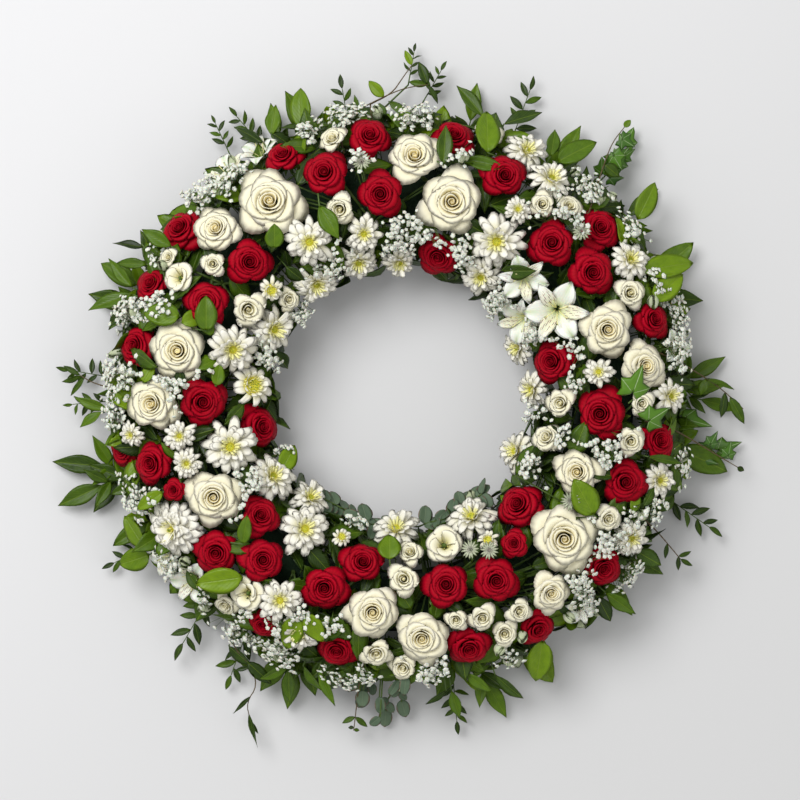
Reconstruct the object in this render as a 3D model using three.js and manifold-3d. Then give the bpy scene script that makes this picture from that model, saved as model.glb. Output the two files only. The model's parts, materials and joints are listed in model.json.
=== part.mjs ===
// A round funeral wreath, laid flat: red roses, white roses, spray roses, daisy chrysanthemums,
// alstroemeria, gypsophila and mixed greenery, pushed on their stems into a ring of wet floral foam
// on a flat backing. Millimetres, +Z up, the origin at the ring's centre on the surface it lies on.
import * as THREE from 'three';
import { mergeVertices } from 'three/addons/utils/BufferGeometryUtils.js';
import Module from 'manifold-3d';

const wasm = await Module();
wasm.setup();

const { Manifold, Mesh: SolidMesh } = wasm;

// Driving dimensions
const RING_RADIUS = 208; // from the wreath's centre to the middle of the foam
const RING_SIDES = 30;
const TRAY_FLOOR = 4;
const TRAY_RIM = 12; // height of the tray's rims
const TRAY_WALL = 2.4;
const FOAM_HALF_WIDTH = 28.4;
const CORE_HEIGHT = 32; // the line inside the foam that every flower stem points at
const GAP = 0.3; // clearance between pieces that touch

// The blooms stand round the foam on a tube. A level is a distance from the core line.
const FACE_LEVEL = 86; // the faces of the open flowers
const PACK_LEVEL = 80; // where the flower heads are widest
const NECK_LEVEL = 56; // the underside of the flower heads
const ELBOW_LEVEL = 51; // where the stems of leaves and gypsophila turn straight outwards
const ROUTE_LEVEL = 46;
const ROUTE_STEP = 55; // the most a stem runs on round the foam without a bend
const LEAF_LEVEL = 94; // leaves that lie over the blooms
const PEG_LEVEL = 13; // how deep the foot of a bunch goes into the foam
const HUB_LEVELS = [35, 50]; // where the stems of one bunch are wired together
const FACE_SIDE_REACH = 84; // faces lie no further than this to either side of the core line
const PACK_CLEARANCE = 0.8;
const SETTLE_ROUNDS = 500;
const FULLNESS = 1.08; // blooms are a little wider than what shows of them between the others
const ARRANGE_ROUNDS = 30;
const PEG_RADIUS = 2.7; // pegs and holes are three-sided
const HOLE_RADIUS = 3.4;
const STEM_CLEARANCE = 0.5;
const CLEAR_OF_FOAM = 30.5; // the lowest level of a stem between its foot and its flower

// Bunches of blooms, each one wired together. A bloom is [x, y, radius] in millimetres from the
// wreath's centre, seen from above.
const RED_ROSES = [
  [[-77, 219, 24], [-128, 244, 20]],
  [[-32, 257, 22], [-21, 204, 24]],
  [[-194, 100, 24], [-150, 132, 23]],
  [[-210, 175, 24], [-253, 123, 20], [-266, 52, 22]],
  [[-284, -50, 21], [-247, -70, 22], [-224, -87, 13]],
  [[-203, -16, 25], [-139, -29, 23]],
  [[-140, -119, 21], [-136, -164, 22], [-186, -158, 24], [-138, -232, 17]],
  [[-38, -164, 22], [-62, -205, 24], [-57, -258, 22]],
  [[42, -189, 24], [99, -190, 24], [67, -246, 22]],
  [[118, -108, 25], [122, -160, 15]],
  [[140, -231, 21], [201, -168, 22]],
  [[226, -86, 24], [260, -44, 21], [203, -20, 26], [146, 36, 23]],
  [[258, 83, 20], [188, 121, 25], [203, 164, 23], [156, 153, 24]],
  [[35, 135, 23]],
  [[52, 266, 22], [104, 216, 24]],
];
const WHITE_ROSES = [
  [[-135, 197, 34], [-176, 173, 24]],
  [[-224, 46, 30], [-245, -7, 27]],
  [[-193, -94, 27]],
  [[-32, -221, 27], [19, -235, 26]],
  [[160, -150, 33], [178, -75, 24], [153, -200, 20]],
  [[204, 69, 27], [238, 38, 24]],
  [[55, 202, 32], [15, 239, 26]],
];
const SPRAY_ROSES = [
  [[-60, 200, 16], [-58, 247, 15]],
  [[-153, 88, 17], [-118, 100, 12], [-190, 130, 12], [-220, 116, 15], [-244, 135, 10]],
  [[-152, -196, 15], [-179, -214, 14]],
  [[-28, -254, 16], [-4, -266, 14], [7, -187, 16], [9, -151, 13], [46, -150, 18]],
  [[76, -215, 14], [52, -219, 11], [118, -221, 13], [95, -238, 14]],
  [[237, -42, 14], [248, 5, 12], [212, -120, 14], [158, -7, 15], [142, -38, 16]],
  [[221, 104, 16], [178, 192, 13], [137, 191, 13], [87, 269, 15]],
];
const DAISIES = [
  [[-95, 159, 22], [-87, 107, 19], [-139, 109, 12]],
  [[-43, 167, 18], [-40, 139, 19], [2, 131, 16]],
  [[-169, 50, 24], [-123, 69, 21], [-144, 9, 20]],
  [[-174, -51, 25], [-125, -81, 22], [-216, -44, 14], [-221, -67, 14]],
  [[-222, -121, 27], [-267, -45, 12]],
  [[-103, -127, 24], [-87, -98, 19], [-57, -137, 9]],
  [[-102, -198, 20], [-102, -239, 19]],
  [[-4, -128, 22], [67, -119, 22], [91, -142, 10]],
  [[264, -85, 17], [232, -148, 18]],
  [[112, -53, 19], [128, 7, 18], [105, 47, 18]],
  [[198, 26, 14], [264, 12, 17]],
  [[95, 160, 26], [79, 120, 19], [118, 197, 12]],
  [[133, 247, 20], [151, 220, 20], [230, 140, 19]],
];
const ALSTROEMERIA = [
  [[165, 92, 26], [132, 114, 20], [135, 75, 20]],
  [[-178, 242, 22], [-150, 251, 17]],
  [[-245, -173, 20], [-218, -186, 19]],
];

// Foliage sprays. Each is pushed into the foam's side at a bearing in degrees. The low leaves
// reach out under the blooms and the high ones come up between the blooms and lie over them.
// A leaf is [x, y, heading in degrees, length, width], the point being its middle.
const FOLIAGE = [
  {
    bearing: 165,
    low: [
      [-317, 24, 170, 38, 11], [-315, -6, 185, 34, 10], [-294, 99, 165, 46, 20],
      [-285, 125, 150, 44, 20], [-254, 152, 120, 42, 18], [-280, 80, 190, 36, 16],
    ],
    high: [[-232, 79, 175, 36, 24], [-205, 76, 90, 34, 22], [-110, 42, 330, 32, 13]],
  },
  {
    bearing: 197,
    low: [
      [-327, -68, 175, 52, 19], [-325, -100, 205, 50, 19], [-300, -101, 235, 42, 17],
      [-297, -76, 160, 42, 17], [-273, -138, 215, 46, 18],
    ],
    high: [[-140, -143, 80, 30, 14]],
  },
  {
    bearing: 236,
    low: [
      [-272, -160, 205, 40, 15], [-207, -227, 240, 52, 12], [-163, -259, 250, 50, 14],
      [-129, -280, 235, 44, 20], [-111, -296, 260, 42, 18], [-91, -284, 285, 42, 20],
    ],
    high: [[-179, -187, 190, 48, 27], [-116, -232, 250, 38, 23], [-80, -228, 300, 32, 20]],
  },
  {
    bearing: 275,
    low: [
      [-50, -292, 255, 24, 21], [-39, -309, 240, 22, 20], [-15, -328, 265, 22, 20],
      [4, -318, 285, 22, 20], [56, -309, 275, 40, 15], [97, -306, 300, 46, 17],
      [142, -271, 305, 48, 28],
    ],
    high: [[-15, -148, 90, 28, 24]],
  },
  {
    bearing: 327,
    low: [
      [222, -205, 310, 44, 18], [250, -170, 330, 42, 18], [294, -118, 325, 48, 13],
      [308, -64, 335, 50, 34], [330, -52, 20, 34, 24], [296, -24, 345, 40, 26],
    ],
    high: [[177, -106, 120, 42, 29], [125, -72, 60, 38, 19], [255, -23, 30, 34, 28]],
  },
  {
    bearing: 12,
    low: [
      [312, 30, 30, 44, 15], [308, 10, 5, 46, 15], [326, -8, 345, 42, 14],
      [277, 139, 40, 56, 25], [286, 100, 355, 44, 19],
    ],
    high: [[228, 8, 70, 38, 32]],
  },
  {
    bearing: 50,
    low: [
      [247, 198, 40, 44, 16], [222, 241, 50, 32, 24], [232, 262, 65, 28, 22],
      [172, 256, 60, 48, 18], [124, 290, 70, 46, 17],
    ],
    high: [[103, 252, 85, 48, 25], [131, 130, 10, 38, 18]],
  },
  {
    bearing: 105,
    low: [
      [75, 300, 80, 40, 16], [34, 318, 60, 30, 13], [12, 338, 80, 26, 12],
      [-55, 292, 100, 42, 10], [-104, 289, 120, 52, 22], [-128, 280, 100, 38, 15],
      [-154, 271, 130, 36, 15], [-181, 264, 115, 30, 14],
    ],
    high: [[40, 245, 85, 42, 17], [-67, 175, 300, 38, 19], [-133, 156, 90, 24, 19]],
  },
];
const INNER_SPRAY = {
  bearing: 278,
  low: [
    [-70, -94, 55, 34, 15], [-24, -113, 80, 20, 19], [2, -112, 95, 21, 20],
    [22, -106, 80, 20, 19], [40, -103, 60, 21, 19], [61, -92, 60, 22, 19],
    [81, -81, 50, 21, 18],
  ],
  high: [],
};
const LOW_LEAF_HEIGHTS = [10, 18.5]; // neighbouring sprays lie at different heights
const LEAF_THICKNESS = 1.6;
const LEAF_DROOP = 0.04;
const LEAF_STALK_RADIUS = 1.3;
const LEAF_STALK_ROOM = 2.4;

// Gypsophila: each cloud stands on a stem at [x, y] that comes up between the blooms.
const GYPSOPHILA = [
  [[25, 162], [-70, 127]],
  [[-211, 14], [-175, -108]],
  [[74, 126], [195, 205]],
  [[-120, -203], [30, -273], [220, -138]],
];
const CLOUD_FLORETS = 5;
const CLOUD_REACH = [10, 36];
const CLOUD_RISE = [14, 5];
const FLORET_RINGS = [[4, 0.8], [0, 4]]; // distance back from the floret's face, radius
const TWIG_RADIUS = 0.8;
const MAST_RADIUS = 1.5;

// Flower heads are turned shapes whose radius swings in and out from column to column. A ring is
// [height above the neck, radius at the even columns, radius at the odd columns], the radii as
// shares of the bloom's own radius.
const ROSE_HEAD = {
  columns: 10,
  foot: 0,
  rings: [[9, 0.62, 0.62], [24, 1, 0.8], [21, 0.68, 0.6], [30, 0.44, 0.56]],
  top: 26,
};
const WHITE_ROSE_HEAD = {
  columns: 10,
  foot: 0,
  rings: [[8, 0.62, 0.62], [23, 1, 0.84], [20, 0.76, 0.7], [28, 0.62, 0.74], [25, 0.42, 0.48]],
  top: 31,
};
const SMALL_ROSE_HEAD = {
  columns: 8,
  foot: 8,
  rings: [[15, 0.62, 0.62], [25, 1, 0.8], [29, 0.5, 0.62]],
  top: 25,
};
const DAISY_HEAD = {
  columns: 12,
  foot: 12,
  rings: [[24, 1, 0.5], [27, 0.5, 0.74]],
  top: 31,
};
const LILY_HEAD = {
  columns: 12,
  foot: 6,
  rings: [[28, 1, 0.42], [25, 0.4, 0.3]],
  top: 20,
};
const SMALL_ROSE_LIMIT = 17; // roses up to this radius have fewer petals

const random = (seed) => {
  let state = seed;
  return () => {
    state = (Math.imul(state, 1664525) + 1013904223) >>> 0;
    return state / 4294967296;
  };
};
const radians = THREE.MathUtils.degToRad;

// Solids
function solid(points, triangles) {
  const mesh = new SolidMesh({
    numProp: 3,
    vertProperties: Float32Array.from(points.flat()),
    triVerts: Uint32Array.from(triangles.flat()),
  });
  return new Manifold(mesh);
}

function geometryOf(shape) {
  const mesh = shape.getMesh();
  const geometry = new THREE.BufferGeometry();
  geometry.setAttribute('position', new THREE.BufferAttribute(mesh.vertProperties, 3));
  geometry.setIndex(new THREE.BufferAttribute(mesh.triVerts, 1));
  return mergeVertices(geometry, 1e-5);
}

// A closed ring with the given cross-section, listed anticlockwise as [side, height].
function ringSolid(section) {
  const points = [];
  const triangles = [];
  const count = section.length;
  for (let turn = 0; turn < RING_SIDES; turn += 1) {
    const angle = (turn / RING_SIDES) * 2 * Math.PI;
    for (const [side, height] of section) {
      const reach = RING_RADIUS + side;
      points.push([reach * Math.cos(angle), reach * Math.sin(angle), height]);
    }
    const next = (turn + 1) % RING_SIDES;
    for (let i = 0; i < count; i += 1) {
      const j = (i + 1) % count;
      const [a, b] = [turn * count + i, turn * count + j];
      const [c, d] = [next * count + j, next * count + i];
      triangles.push([a, c, b], [a, d, c]);
    }
  }
  return solid(points, triangles);
}

// A closed skin over rings of points. Every ring runs anticlockwise as seen from the ring after
// it, neighbouring rings may differ in their number of points, and a ring of one is a tip.
function loft(rings) {
  const points = rings.flat().map((point) => point.toArray());
  const triangles = [];
  const first = rings[0].length;
  for (let i = 1; i + 1 < first; i += 1) triangles.push([0, i + 1, i]);
  let low = 0;
  for (let ring = 0; ring + 1 < rings.length; ring += 1) {
    const [under, over] = [rings[ring].length, rings[ring + 1].length];
    const high = low + under;
    let [i, j] = [0, 0];
    while (i < under || j < over) {
      const [a, b] = [low + (i % under), high + (j % over)];
      const onLow = j === over || (i < under && (i + 1) / under <= (j + 1) / over);
      if (onLow) {
        i += 1;
        if (under > 1) triangles.push([a, low + (i % under), b]);
      } else {
        j += 1;
        if (over > 1) triangles.push([a, high + (j % over), b]);
      }
    }
    low = high;
  }
  for (let i = 1; i + 1 < rings.at(-1).length; i += 1) triangles.push([low, low + i, low + i + 1]);
  return solid(points, triangles);
}

function ringOf(centre, across, over, radii) {
  return radii.map((radius, i) => {
    const angle = (i / radii.length) * 2 * Math.PI;
    return centre.clone()
      .addScaledVector(across, radius * Math.cos(angle))
      .addScaledVector(over, radius * Math.sin(angle));
  });
}

// The rings of a three-sided stem along a bent path. It is mitred at every bend and at its end
// lies square to the frame it runs into.
function stemRings(path, radii, frame) {
  const rings = [];
  let { ahead, across } = frame;
  for (let i = path.length - 1; i >= 0; i -= 1) {
    const before = i > 0 ? new THREE.Vector3().subVectors(path[i], path[i - 1]).normalize() : ahead;
    const turn = new THREE.Quaternion().setFromUnitVectors(ahead, before);
    const half = new THREE.Quaternion().slerp(turn, 0.5);
    const facing = ahead.clone().applyQuaternion(half);
    const side = across.clone().applyQuaternion(half);
    const over = new THREE.Vector3().crossVectors(facing, side);
    rings.unshift(ringOf(path[i], side, over, Array(3).fill(radii[i])));
    ahead = before;
    across = across.clone().applyQuaternion(turn);
  }
  return rings;
}

// The rings of a flower head standing on its place on the tube.
function headRings(form, radius, place) {
  const { ahead, across, over } = frameAt(place);
  const rings = form.rings.map(([level, even, odd]) => {
    const radii = Array.from({ length: form.columns }, (_, i) => radius * (i % 2 ? odd : even));
    return ringOf(pointAt(place, NECK_LEVEL + level), across, over, radii);
  });
  rings.push([pointAt(place, NECK_LEVEL + form.top)]);
  return rings;
}

// The rings of a leaf: a flat face over a keel, drooping towards its tip.
function leafRings(base, frame, { length, width }) {
  const { ahead, across, over } = frame;
  const steps = length > 50 ? 4 : 3;
  const rings = [];
  for (let i = 1; i <= steps; i += 1) {
    const share = i / steps;
    const spine = base.clone().addScaledVector(ahead, length * share)
      .addScaledVector(over, -LEAF_DROOP * length * share * share);
    if (i === steps) {
      rings.push([spine]);
    } else {
      const spread = (width / 2) * Math.sin(Math.PI * share ** 0.8);
      rings.push([
        spine.clone().addScaledVector(across, spread),
        spine.clone().addScaledVector(across, -spread),
        spine.clone().addScaledVector(over, -LEAF_THICKNESS),
      ]);
    }
  }
  return rings;
}

// Places on the tube
const leanLimit = Math.acos(FACE_SIDE_REACH / FACE_LEVEL);
const clampLean = (lean) => THREE.MathUtils.clamp(lean, leanLimit, Math.PI - leanLimit);

// The shorter way round from one bearing to another.
function turnBetween(from, to) {
  return Math.atan2(Math.sin(to - from), Math.cos(to - from));
}

function placeOver(x, y) {
  const side = THREE.MathUtils.clamp(
    Math.hypot(x, y) - RING_RADIUS, -FACE_SIDE_REACH, FACE_SIDE_REACH,
  );
  return { turn: Math.atan2(y, x), lean: Math.acos(side / FACE_LEVEL) };
}

function outwards({ turn, lean }) {
  const flat = Math.cos(lean);
  return new THREE.Vector3(flat * Math.cos(turn), flat * Math.sin(turn), Math.sin(lean));
}

function pointAt(place, level) {
  const core = new THREE.Vector3(
    RING_RADIUS * Math.cos(place.turn), RING_RADIUS * Math.sin(place.turn), CORE_HEIGHT,
  );
  return core.addScaledVector(outwards(place), level);
}

// The directions at a place: out of the tube, along the ring and round the tube.
function frameAt(place) {
  const ahead = outwards(place);
  const across = new THREE.Vector3(-Math.sin(place.turn), Math.cos(place.turn), 0);
  return { ahead, across, over: new THREE.Vector3().crossVectors(ahead, across) };
}

function placeOf(point) {
  const side = Math.hypot(point.x, point.y) - RING_RADIUS;
  return {
    turn: Math.atan2(point.y, point.x),
    lean: clampLean(Math.atan2(point.z - CORE_HEIGHT, side)),
  };
}

// Everything that stands among the blooms is eased apart along the tube until nothing overlaps.
function settle(items) {
  for (const item of items) item.at = pointAt(item.place, PACK_LEVEL);
  for (let round = 0; round < SETTLE_ROUNDS; round += 1) {
    for (let i = 0; i < items.length; i += 1) {
      for (let j = i + 1; j < items.length; j += 1) {
        const [a, b] = [items[i], items[j]];
        const apart = new THREE.Vector3().subVectors(b.at, a.at);
        const distance = apart.length();
        const lack = a.room + b.room + PACK_CLEARANCE - distance;
        if (lack > 0) {
          const share = b.room / (a.room + b.room);
          apart.multiplyScalar((0.6 * lack) / distance);
          a.at.addScaledVector(apart, -share);
          b.at.addScaledVector(apart, 1 - share);
        }
      }
    }
    for (const item of items) {
      item.place = placeOf(item.at);
      item.at = pointAt(item.place, PACK_LEVEL);
    }
  }
}

// Each bunch has a hub from which its stems run out and one peg runs down into the foam. The hubs
// are shifted about until no stem comes near the stems of another bunch.
function routeOf(item, hub) {
  const route = [pointAt(hub, hub.level)];
  if (item.base) return [...route, item.base];
  const { place } = item;
  const turn = turnBetween(hub.turn, place.turn);
  const lean = place.lean - hub.lean;
  const steps = Math.ceil(Math.hypot(turn * RING_RADIUS, lean * ROUTE_LEVEL) / ROUTE_STEP);
  for (let i = 1; i < steps; i += 1) {
    const share = i / steps;
    const level = THREE.MathUtils.lerp(hub.level, ELBOW_LEVEL, share);
    route.push(pointAt({ turn: hub.turn + share * turn, lean: hub.lean + share * lean }, level));
  }
  if (item.form) return [...route, pointAt(place, NECK_LEVEL + item.form.foot)];
  return [...route, pointAt(place, ELBOW_LEVEL), pointAt(place, LEAF_LEVEL)];
}

function segmentsOf(bunch, hub) {
  const hubPoint = pointAt(hub, hub.level);
  const segments = [{ from: pointAt(hub, PEG_LEVEL), to: hubPoint, room: PEG_RADIUS + 0.6 }];
  for (const item of [...bunch.items, ...bunch.low]) {
    const route = routeOf(item, hub);
    for (let i = 0; i + 1 < route.length; i += 1) {
      segments.push({ from: route[i], to: route[i + 1], room: item.stem });
    }
  }
  return segments;
}

// Shortest distance between two straight stems.
function distanceBetween(a, b) {
  const u = new THREE.Vector3().subVectors(a.to, a.from);
  const v = new THREE.Vector3().subVectors(b.to, b.from);
  const w = new THREE.Vector3().subVectors(a.from, b.from);
  const [uu, uv, vv, uw, vw] = [u.dot(u), u.dot(v), v.dot(v), u.dot(w), v.dot(w)];
  const clamp = (value) => Math.min(1, Math.max(0, value));
  const spread = uu * vv - uv * uv;
  let s = spread > 1e-9 ? clamp((uv * vw - vv * uw) / spread) : 0;
  const t = clamp((uv * s + vw) / vv);
  s = clamp((uv * t - uw) / uu);
  return w.addScaledVector(u, s).addScaledVector(v, -t).length();
}

function crowding(segments, others) {
  let total = 0;
  for (const a of segments) {
    for (const b of others) {
      const lack = a.room + b.room + STEM_CLEARANCE - distanceBetween(a, b);
      if (lack > 0) total += lack;
    }
  }
  return total;
}

function startHub(bunch) {
  if (bunch.bearing !== undefined) {
    return { turn: radians(bunch.bearing), lean: radians(bunch.sideLean), level: 38 };
  }
  const middle = new THREE.Vector3();
  for (const item of bunch.items) middle.add(item.at);
  const hub = placeOf(middle.divideScalar(bunch.items.length));
  return { ...hub, level: 42 };
}

function shiftedHub(bunch, draw) {
  const { start } = bunch;
  const lean = start.lean + radians((draw() - 0.5) * (bunch.bearing === undefined ? 70 : 16));
  return {
    turn: start.turn + radians((draw() - 0.5) * 18),
    lean: bunch.bearing === undefined ? clampLean(lean) : lean,
    level: THREE.MathUtils.lerp(...HUB_LEVELS, draw()),
  };
}

function arrange(bunches) {
  const draw = random(11);
  for (const bunch of bunches) {
    bunch.start = startHub(bunch);
    bunch.hub = bunch.start;
    bunch.segments = segmentsOf(bunch, bunch.hub);
  }
  for (let round = 0; round < ARRANGE_ROUNDS; round += 1) {
    for (const bunch of bunches) {
      const others = bunches.filter((other) => other !== bunch && isNear(other, bunch))
        .flatMap((other) => other.segments);
      let best = crowding(bunch.segments, others) + sinking(bunch.segments);
      for (let attempt = 0; attempt < 12 && best > 0; attempt += 1) {
        const hub = shiftedHub(bunch, draw);
        const segments = segmentsOf(bunch, hub);
        const score = crowding(segments, others) + sinking(segments);
        if (score < best) {
          best = score;
          Object.assign(bunch, { hub, segments });
        }
      }
    }
  }
}

function isNear(a, b) {
  return Math.abs(turnBetween(a.start.turn, b.start.turn)) < radians(75);
}

// How far the stems of a bunch would sink into the foam.
function sinking(segments) {
  let total = 0;
  for (const { from, to, room } of segments.slice(1)) {
    for (const share of [0.25, 0.5, 0.75]) {
      const point = new THREE.Vector3().lerpVectors(from, to, share);
      const side = Math.hypot(point.x, point.y) - RING_RADIUS;
      const level = Math.hypot(side, Math.max(point.z - CORE_HEIGHT, 0));
      total += Math.max(0, CLEAR_OF_FOAM + room - level);
    }
  }
  return total;
}

// Lists of bunches
function headForm(form, radius) {
  return form === ROSE_HEAD && radius <= SMALL_ROSE_LIMIT ? SMALL_ROSE_HEAD : form;
}

function bloomBunches(name, lists, form, share, stem, color) {
  return lists.map((list, index) => ({
    name: `${name}_${index + 1}`,
    color,
    low: [],
    items: list.map(([x, y, radius]) => ({
      place: placeOver(x, y), room: radius * share * FULLNESS, stem, form: headForm(form, radius),
    })),
  }));
}

function lowLeaf([x, y, heading, length, width], height) {
  const angle = radians(heading);
  const back = length / 2;
  return {
    base: new THREE.Vector3(x - back * Math.cos(angle), y - back * Math.sin(angle), height),
    stem: LEAF_STALK_RADIUS, angle, length, width,
  };
}

function highLeaf([x, y, heading, length, width]) {
  const angle = radians(heading);
  const back = length / 2;
  const place = placeOver(x - back * Math.cos(angle), y - back * Math.sin(angle));
  return { place, room: LEAF_STALK_ROOM, stem: LEAF_STALK_RADIUS, angle, length, width };
}

function sprayBunch(spray, name, height, sideLean) {
  return {
    name,
    color: '#3f6b2a',
    bearing: spray.bearing,
    sideLean,
    low: spray.low.map((leaf) => lowLeaf(leaf, height)),
    items: spray.high.map(highLeaf),
  };
}

function cloudBunch(masts, index) {
  return {
    name: `gypsophila_${index + 1}`,
    color: '#eef0e6',
    low: [],
    items: masts.map(([x, y]) => ({
      place: placeOver(x, y), room: LEAF_STALK_ROOM, stem: MAST_RADIUS, cloud: true,
    })),
  };
}

// Building
function leafFrame(angle, out) {
  const heading = new THREE.Vector3(Math.cos(angle), Math.sin(angle), 0);
  const across = new THREE.Vector3().crossVectors(out, heading).normalize();
  return { ahead: new THREE.Vector3().crossVectors(across, out), across, over: out };
}

function taper(path, start, end) {
  return path.map((_, i) => THREE.MathUtils.lerp(start, end, i / (path.length - 1)));
}

function frameOf(item) {
  if (item.base) return leafFrame(item.angle, new THREE.Vector3(0, 0, 1));
  if (item.form || item.cloud) return frameAt(item.place);
  return leafFrame(item.angle, outwards(item.place));
}

// The stem of one bloom or leaf. The first stem of a bunch runs on down into the foam.
function stemOf(item, hub, isFirst) {
  const route = routeOf(item, hub);
  const radii = taper(route, isFirst ? PEG_RADIUS : item.stem * 0.7, item.stem);
  if (isFirst) {
    route.unshift(pointAt(hub, PEG_LEVEL));
    radii.unshift(PEG_RADIUS);
  }
  return { rings: stemRings(route, radii, frameOf(item)), end: route.at(-1) };
}

function itemSolid(item, hub, isFirst) {
  const { rings, end } = stemOf(item, hub, isFirst);
  if (item.form) rings.push(...headRings(item.form, item.room, item.place));
  else if (!item.cloud) rings.push(...leafRings(end, frameOf(item), item));
  return loft(rings);
}

// Florets on twigs that fan out from the top of a gypsophila stem.
function cloudSolids(item, draw) {
  const { ahead, across, over } = frameAt(item.place);
  const start = pointAt(item.place, LEAF_LEVEL - 1.5);
  const solids = [];
  for (let i = 0; i < CLOUD_FLORETS; i += 1) {
    const share = (i + 0.5) / CLOUD_FLORETS;
    const angle = i * 2.4 + draw();
    const twig = new THREE.Vector3()
      .addScaledVector(across, Math.cos(angle)).addScaledVector(over, Math.sin(angle))
      .multiplyScalar(THREE.MathUtils.lerp(...CLOUD_REACH, share))
      .addScaledVector(ahead, THREE.MathUtils.lerp(...CLOUD_RISE, share));
    const length = twig.length();
    const facing = twig.normalize();
    const side = new THREE.Vector3().crossVectors(over, facing).normalize();
    const up = new THREE.Vector3().crossVectors(facing, side);
    const rings = FLORET_RINGS.map(([back, radius]) => {
      const centre = start.clone().addScaledVector(facing, length - back);
      return ringOf(centre, side, up, Array(3).fill(radius));
    });
    rings.unshift(ringOf(start, side, up, Array(3).fill(TWIG_RADIUS)));
    rings.push([start.clone().addScaledVector(facing, length + 1)]);
    solids.push(loft(rings));
  }
  return solids;
}

function bunchSolid(bunch, draw) {
  const items = [...bunch.items, ...bunch.low];
  const solids = items.map((item, i) => itemSolid(item, bunch.hub, i === 0));
  for (const item of items) {
    if (item.cloud) solids.push(...cloudSolids(item, draw));
  }
  return Manifold.union(solids);
}

// The hole for a bunch's foot has the foot's own shape, a little wider and deeper.
function holeFor(bunch) {
  const first = [...bunch.items, ...bunch.low][0];
  const { rings } = stemOf(first, bunch.hub, true);
  const down = outwards(bunch.hub).negate();
  return loft(rings.slice(0, 2).map((ring, i) => {
    const centre = ring.reduce((sum, point) => sum.add(point), new THREE.Vector3());
    centre.divideScalar(ring.length);
    return ring.map((point) => (
      point.clone().sub(centre).multiplyScalar(HOLE_RADIUS / PEG_RADIUS).add(centre)
        .addScaledVector(down, i === 0 ? 1 : 0)
    ));
  }));
}

const group = new THREE.Group();
function add(name, shape, color, roughness) {
  const material = new THREE.MeshStandardMaterial({ color, roughness, metalness: 0 });
  const mesh = new THREE.Mesh(geometryOf(shape), material);
  mesh.name = name;
  group.add(mesh);
}

const bunches = [
  ...bloomBunches('red_roses', RED_ROSES, ROSE_HEAD, 0.97, 2, '#8c0f22'),
  ...bloomBunches('white_roses', WHITE_ROSES, WHITE_ROSE_HEAD, 0.97, 2, '#f1ead2'),
  ...bloomBunches('spray_roses', SPRAY_ROSES, SMALL_ROSE_HEAD, 0.97, 1.5, '#f3efe0'),
  ...bloomBunches('daisies', DAISIES, DAISY_HEAD, 0.92, 1.5, '#f6f5ee'),
  ...bloomBunches('alstroemeria', ALSTROEMERIA, LILY_HEAD, 0.92, 1.5, '#f2f1e8'),
  ...GYPSOPHILA.map(cloudBunch),
  ...FOLIAGE.map((spray, i) => (
    sprayBunch(spray, `foliage_${i + 1}`, LOW_LEAF_HEIGHTS[i % 2], -14)
  )),
  sprayBunch(INNER_SPRAY, 'inner_eucalyptus', LOW_LEAF_HEIGHTS[0], 194),
];
settle(bunches.flatMap((bunch) => bunch.items));
arrange(bunches);

const floor = TRAY_FLOOR + GAP;
const inner = FOAM_HALF_WIDTH + GAP;
const outer = inner + TRAY_WALL;
add('tray', ringSolid([
  [-outer, 0], [outer, 0], [outer, TRAY_RIM], [inner, TRAY_RIM], [inner, TRAY_FLOOR],
  [-inner, TRAY_FLOOR], [-inner, TRAY_RIM], [-outer, TRAY_RIM],
]), '#23372a', 0.5);

const foam = ringSolid([
  [-FOAM_HALF_WIDTH, floor], [FOAM_HALF_WIDTH, floor], [FOAM_HALF_WIDTH, 30], [25, 46], [14, 57],
  [0, 61], [-14, 57], [-25, 46], [-FOAM_HALF_WIDTH, 30],
]);
add('foam_ring', foam.subtract(Manifold.union(bunches.map(holeFor))), '#2f5a39', 0.95);

const draw = random(5);
for (const bunch of bunches) add(bunch.name, bunchSolid(bunch, draw), bunch.color, 0.6);

const box = new THREE.Box3().setFromObject(group);
const centre = box.getCenter(new THREE.Vector3());
group.position.set(-centre.x, -centre.y, 0);

export default group;
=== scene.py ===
# %% [markdown]
# # A funeral wreath, dressed in Blender
#
# A real wreath is a ring of wet foam in a shallow tray, with a few hundred stems pushed into it.
# The solid model holds its true sizes: ring, tray, and bunches of plain flower heads, leaves and
# gypsophila. This lesson gives them their looks. Petals could be cloth or flat cards, but thin
# closed skins made by formula look right from every side and print as well. First the solid model
# is loaded, as a frame that nothing here may move.

# %% Load the frame
import json
import math
import bpy
import numpy as np
from mathutils import Matrix, Vector

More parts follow.
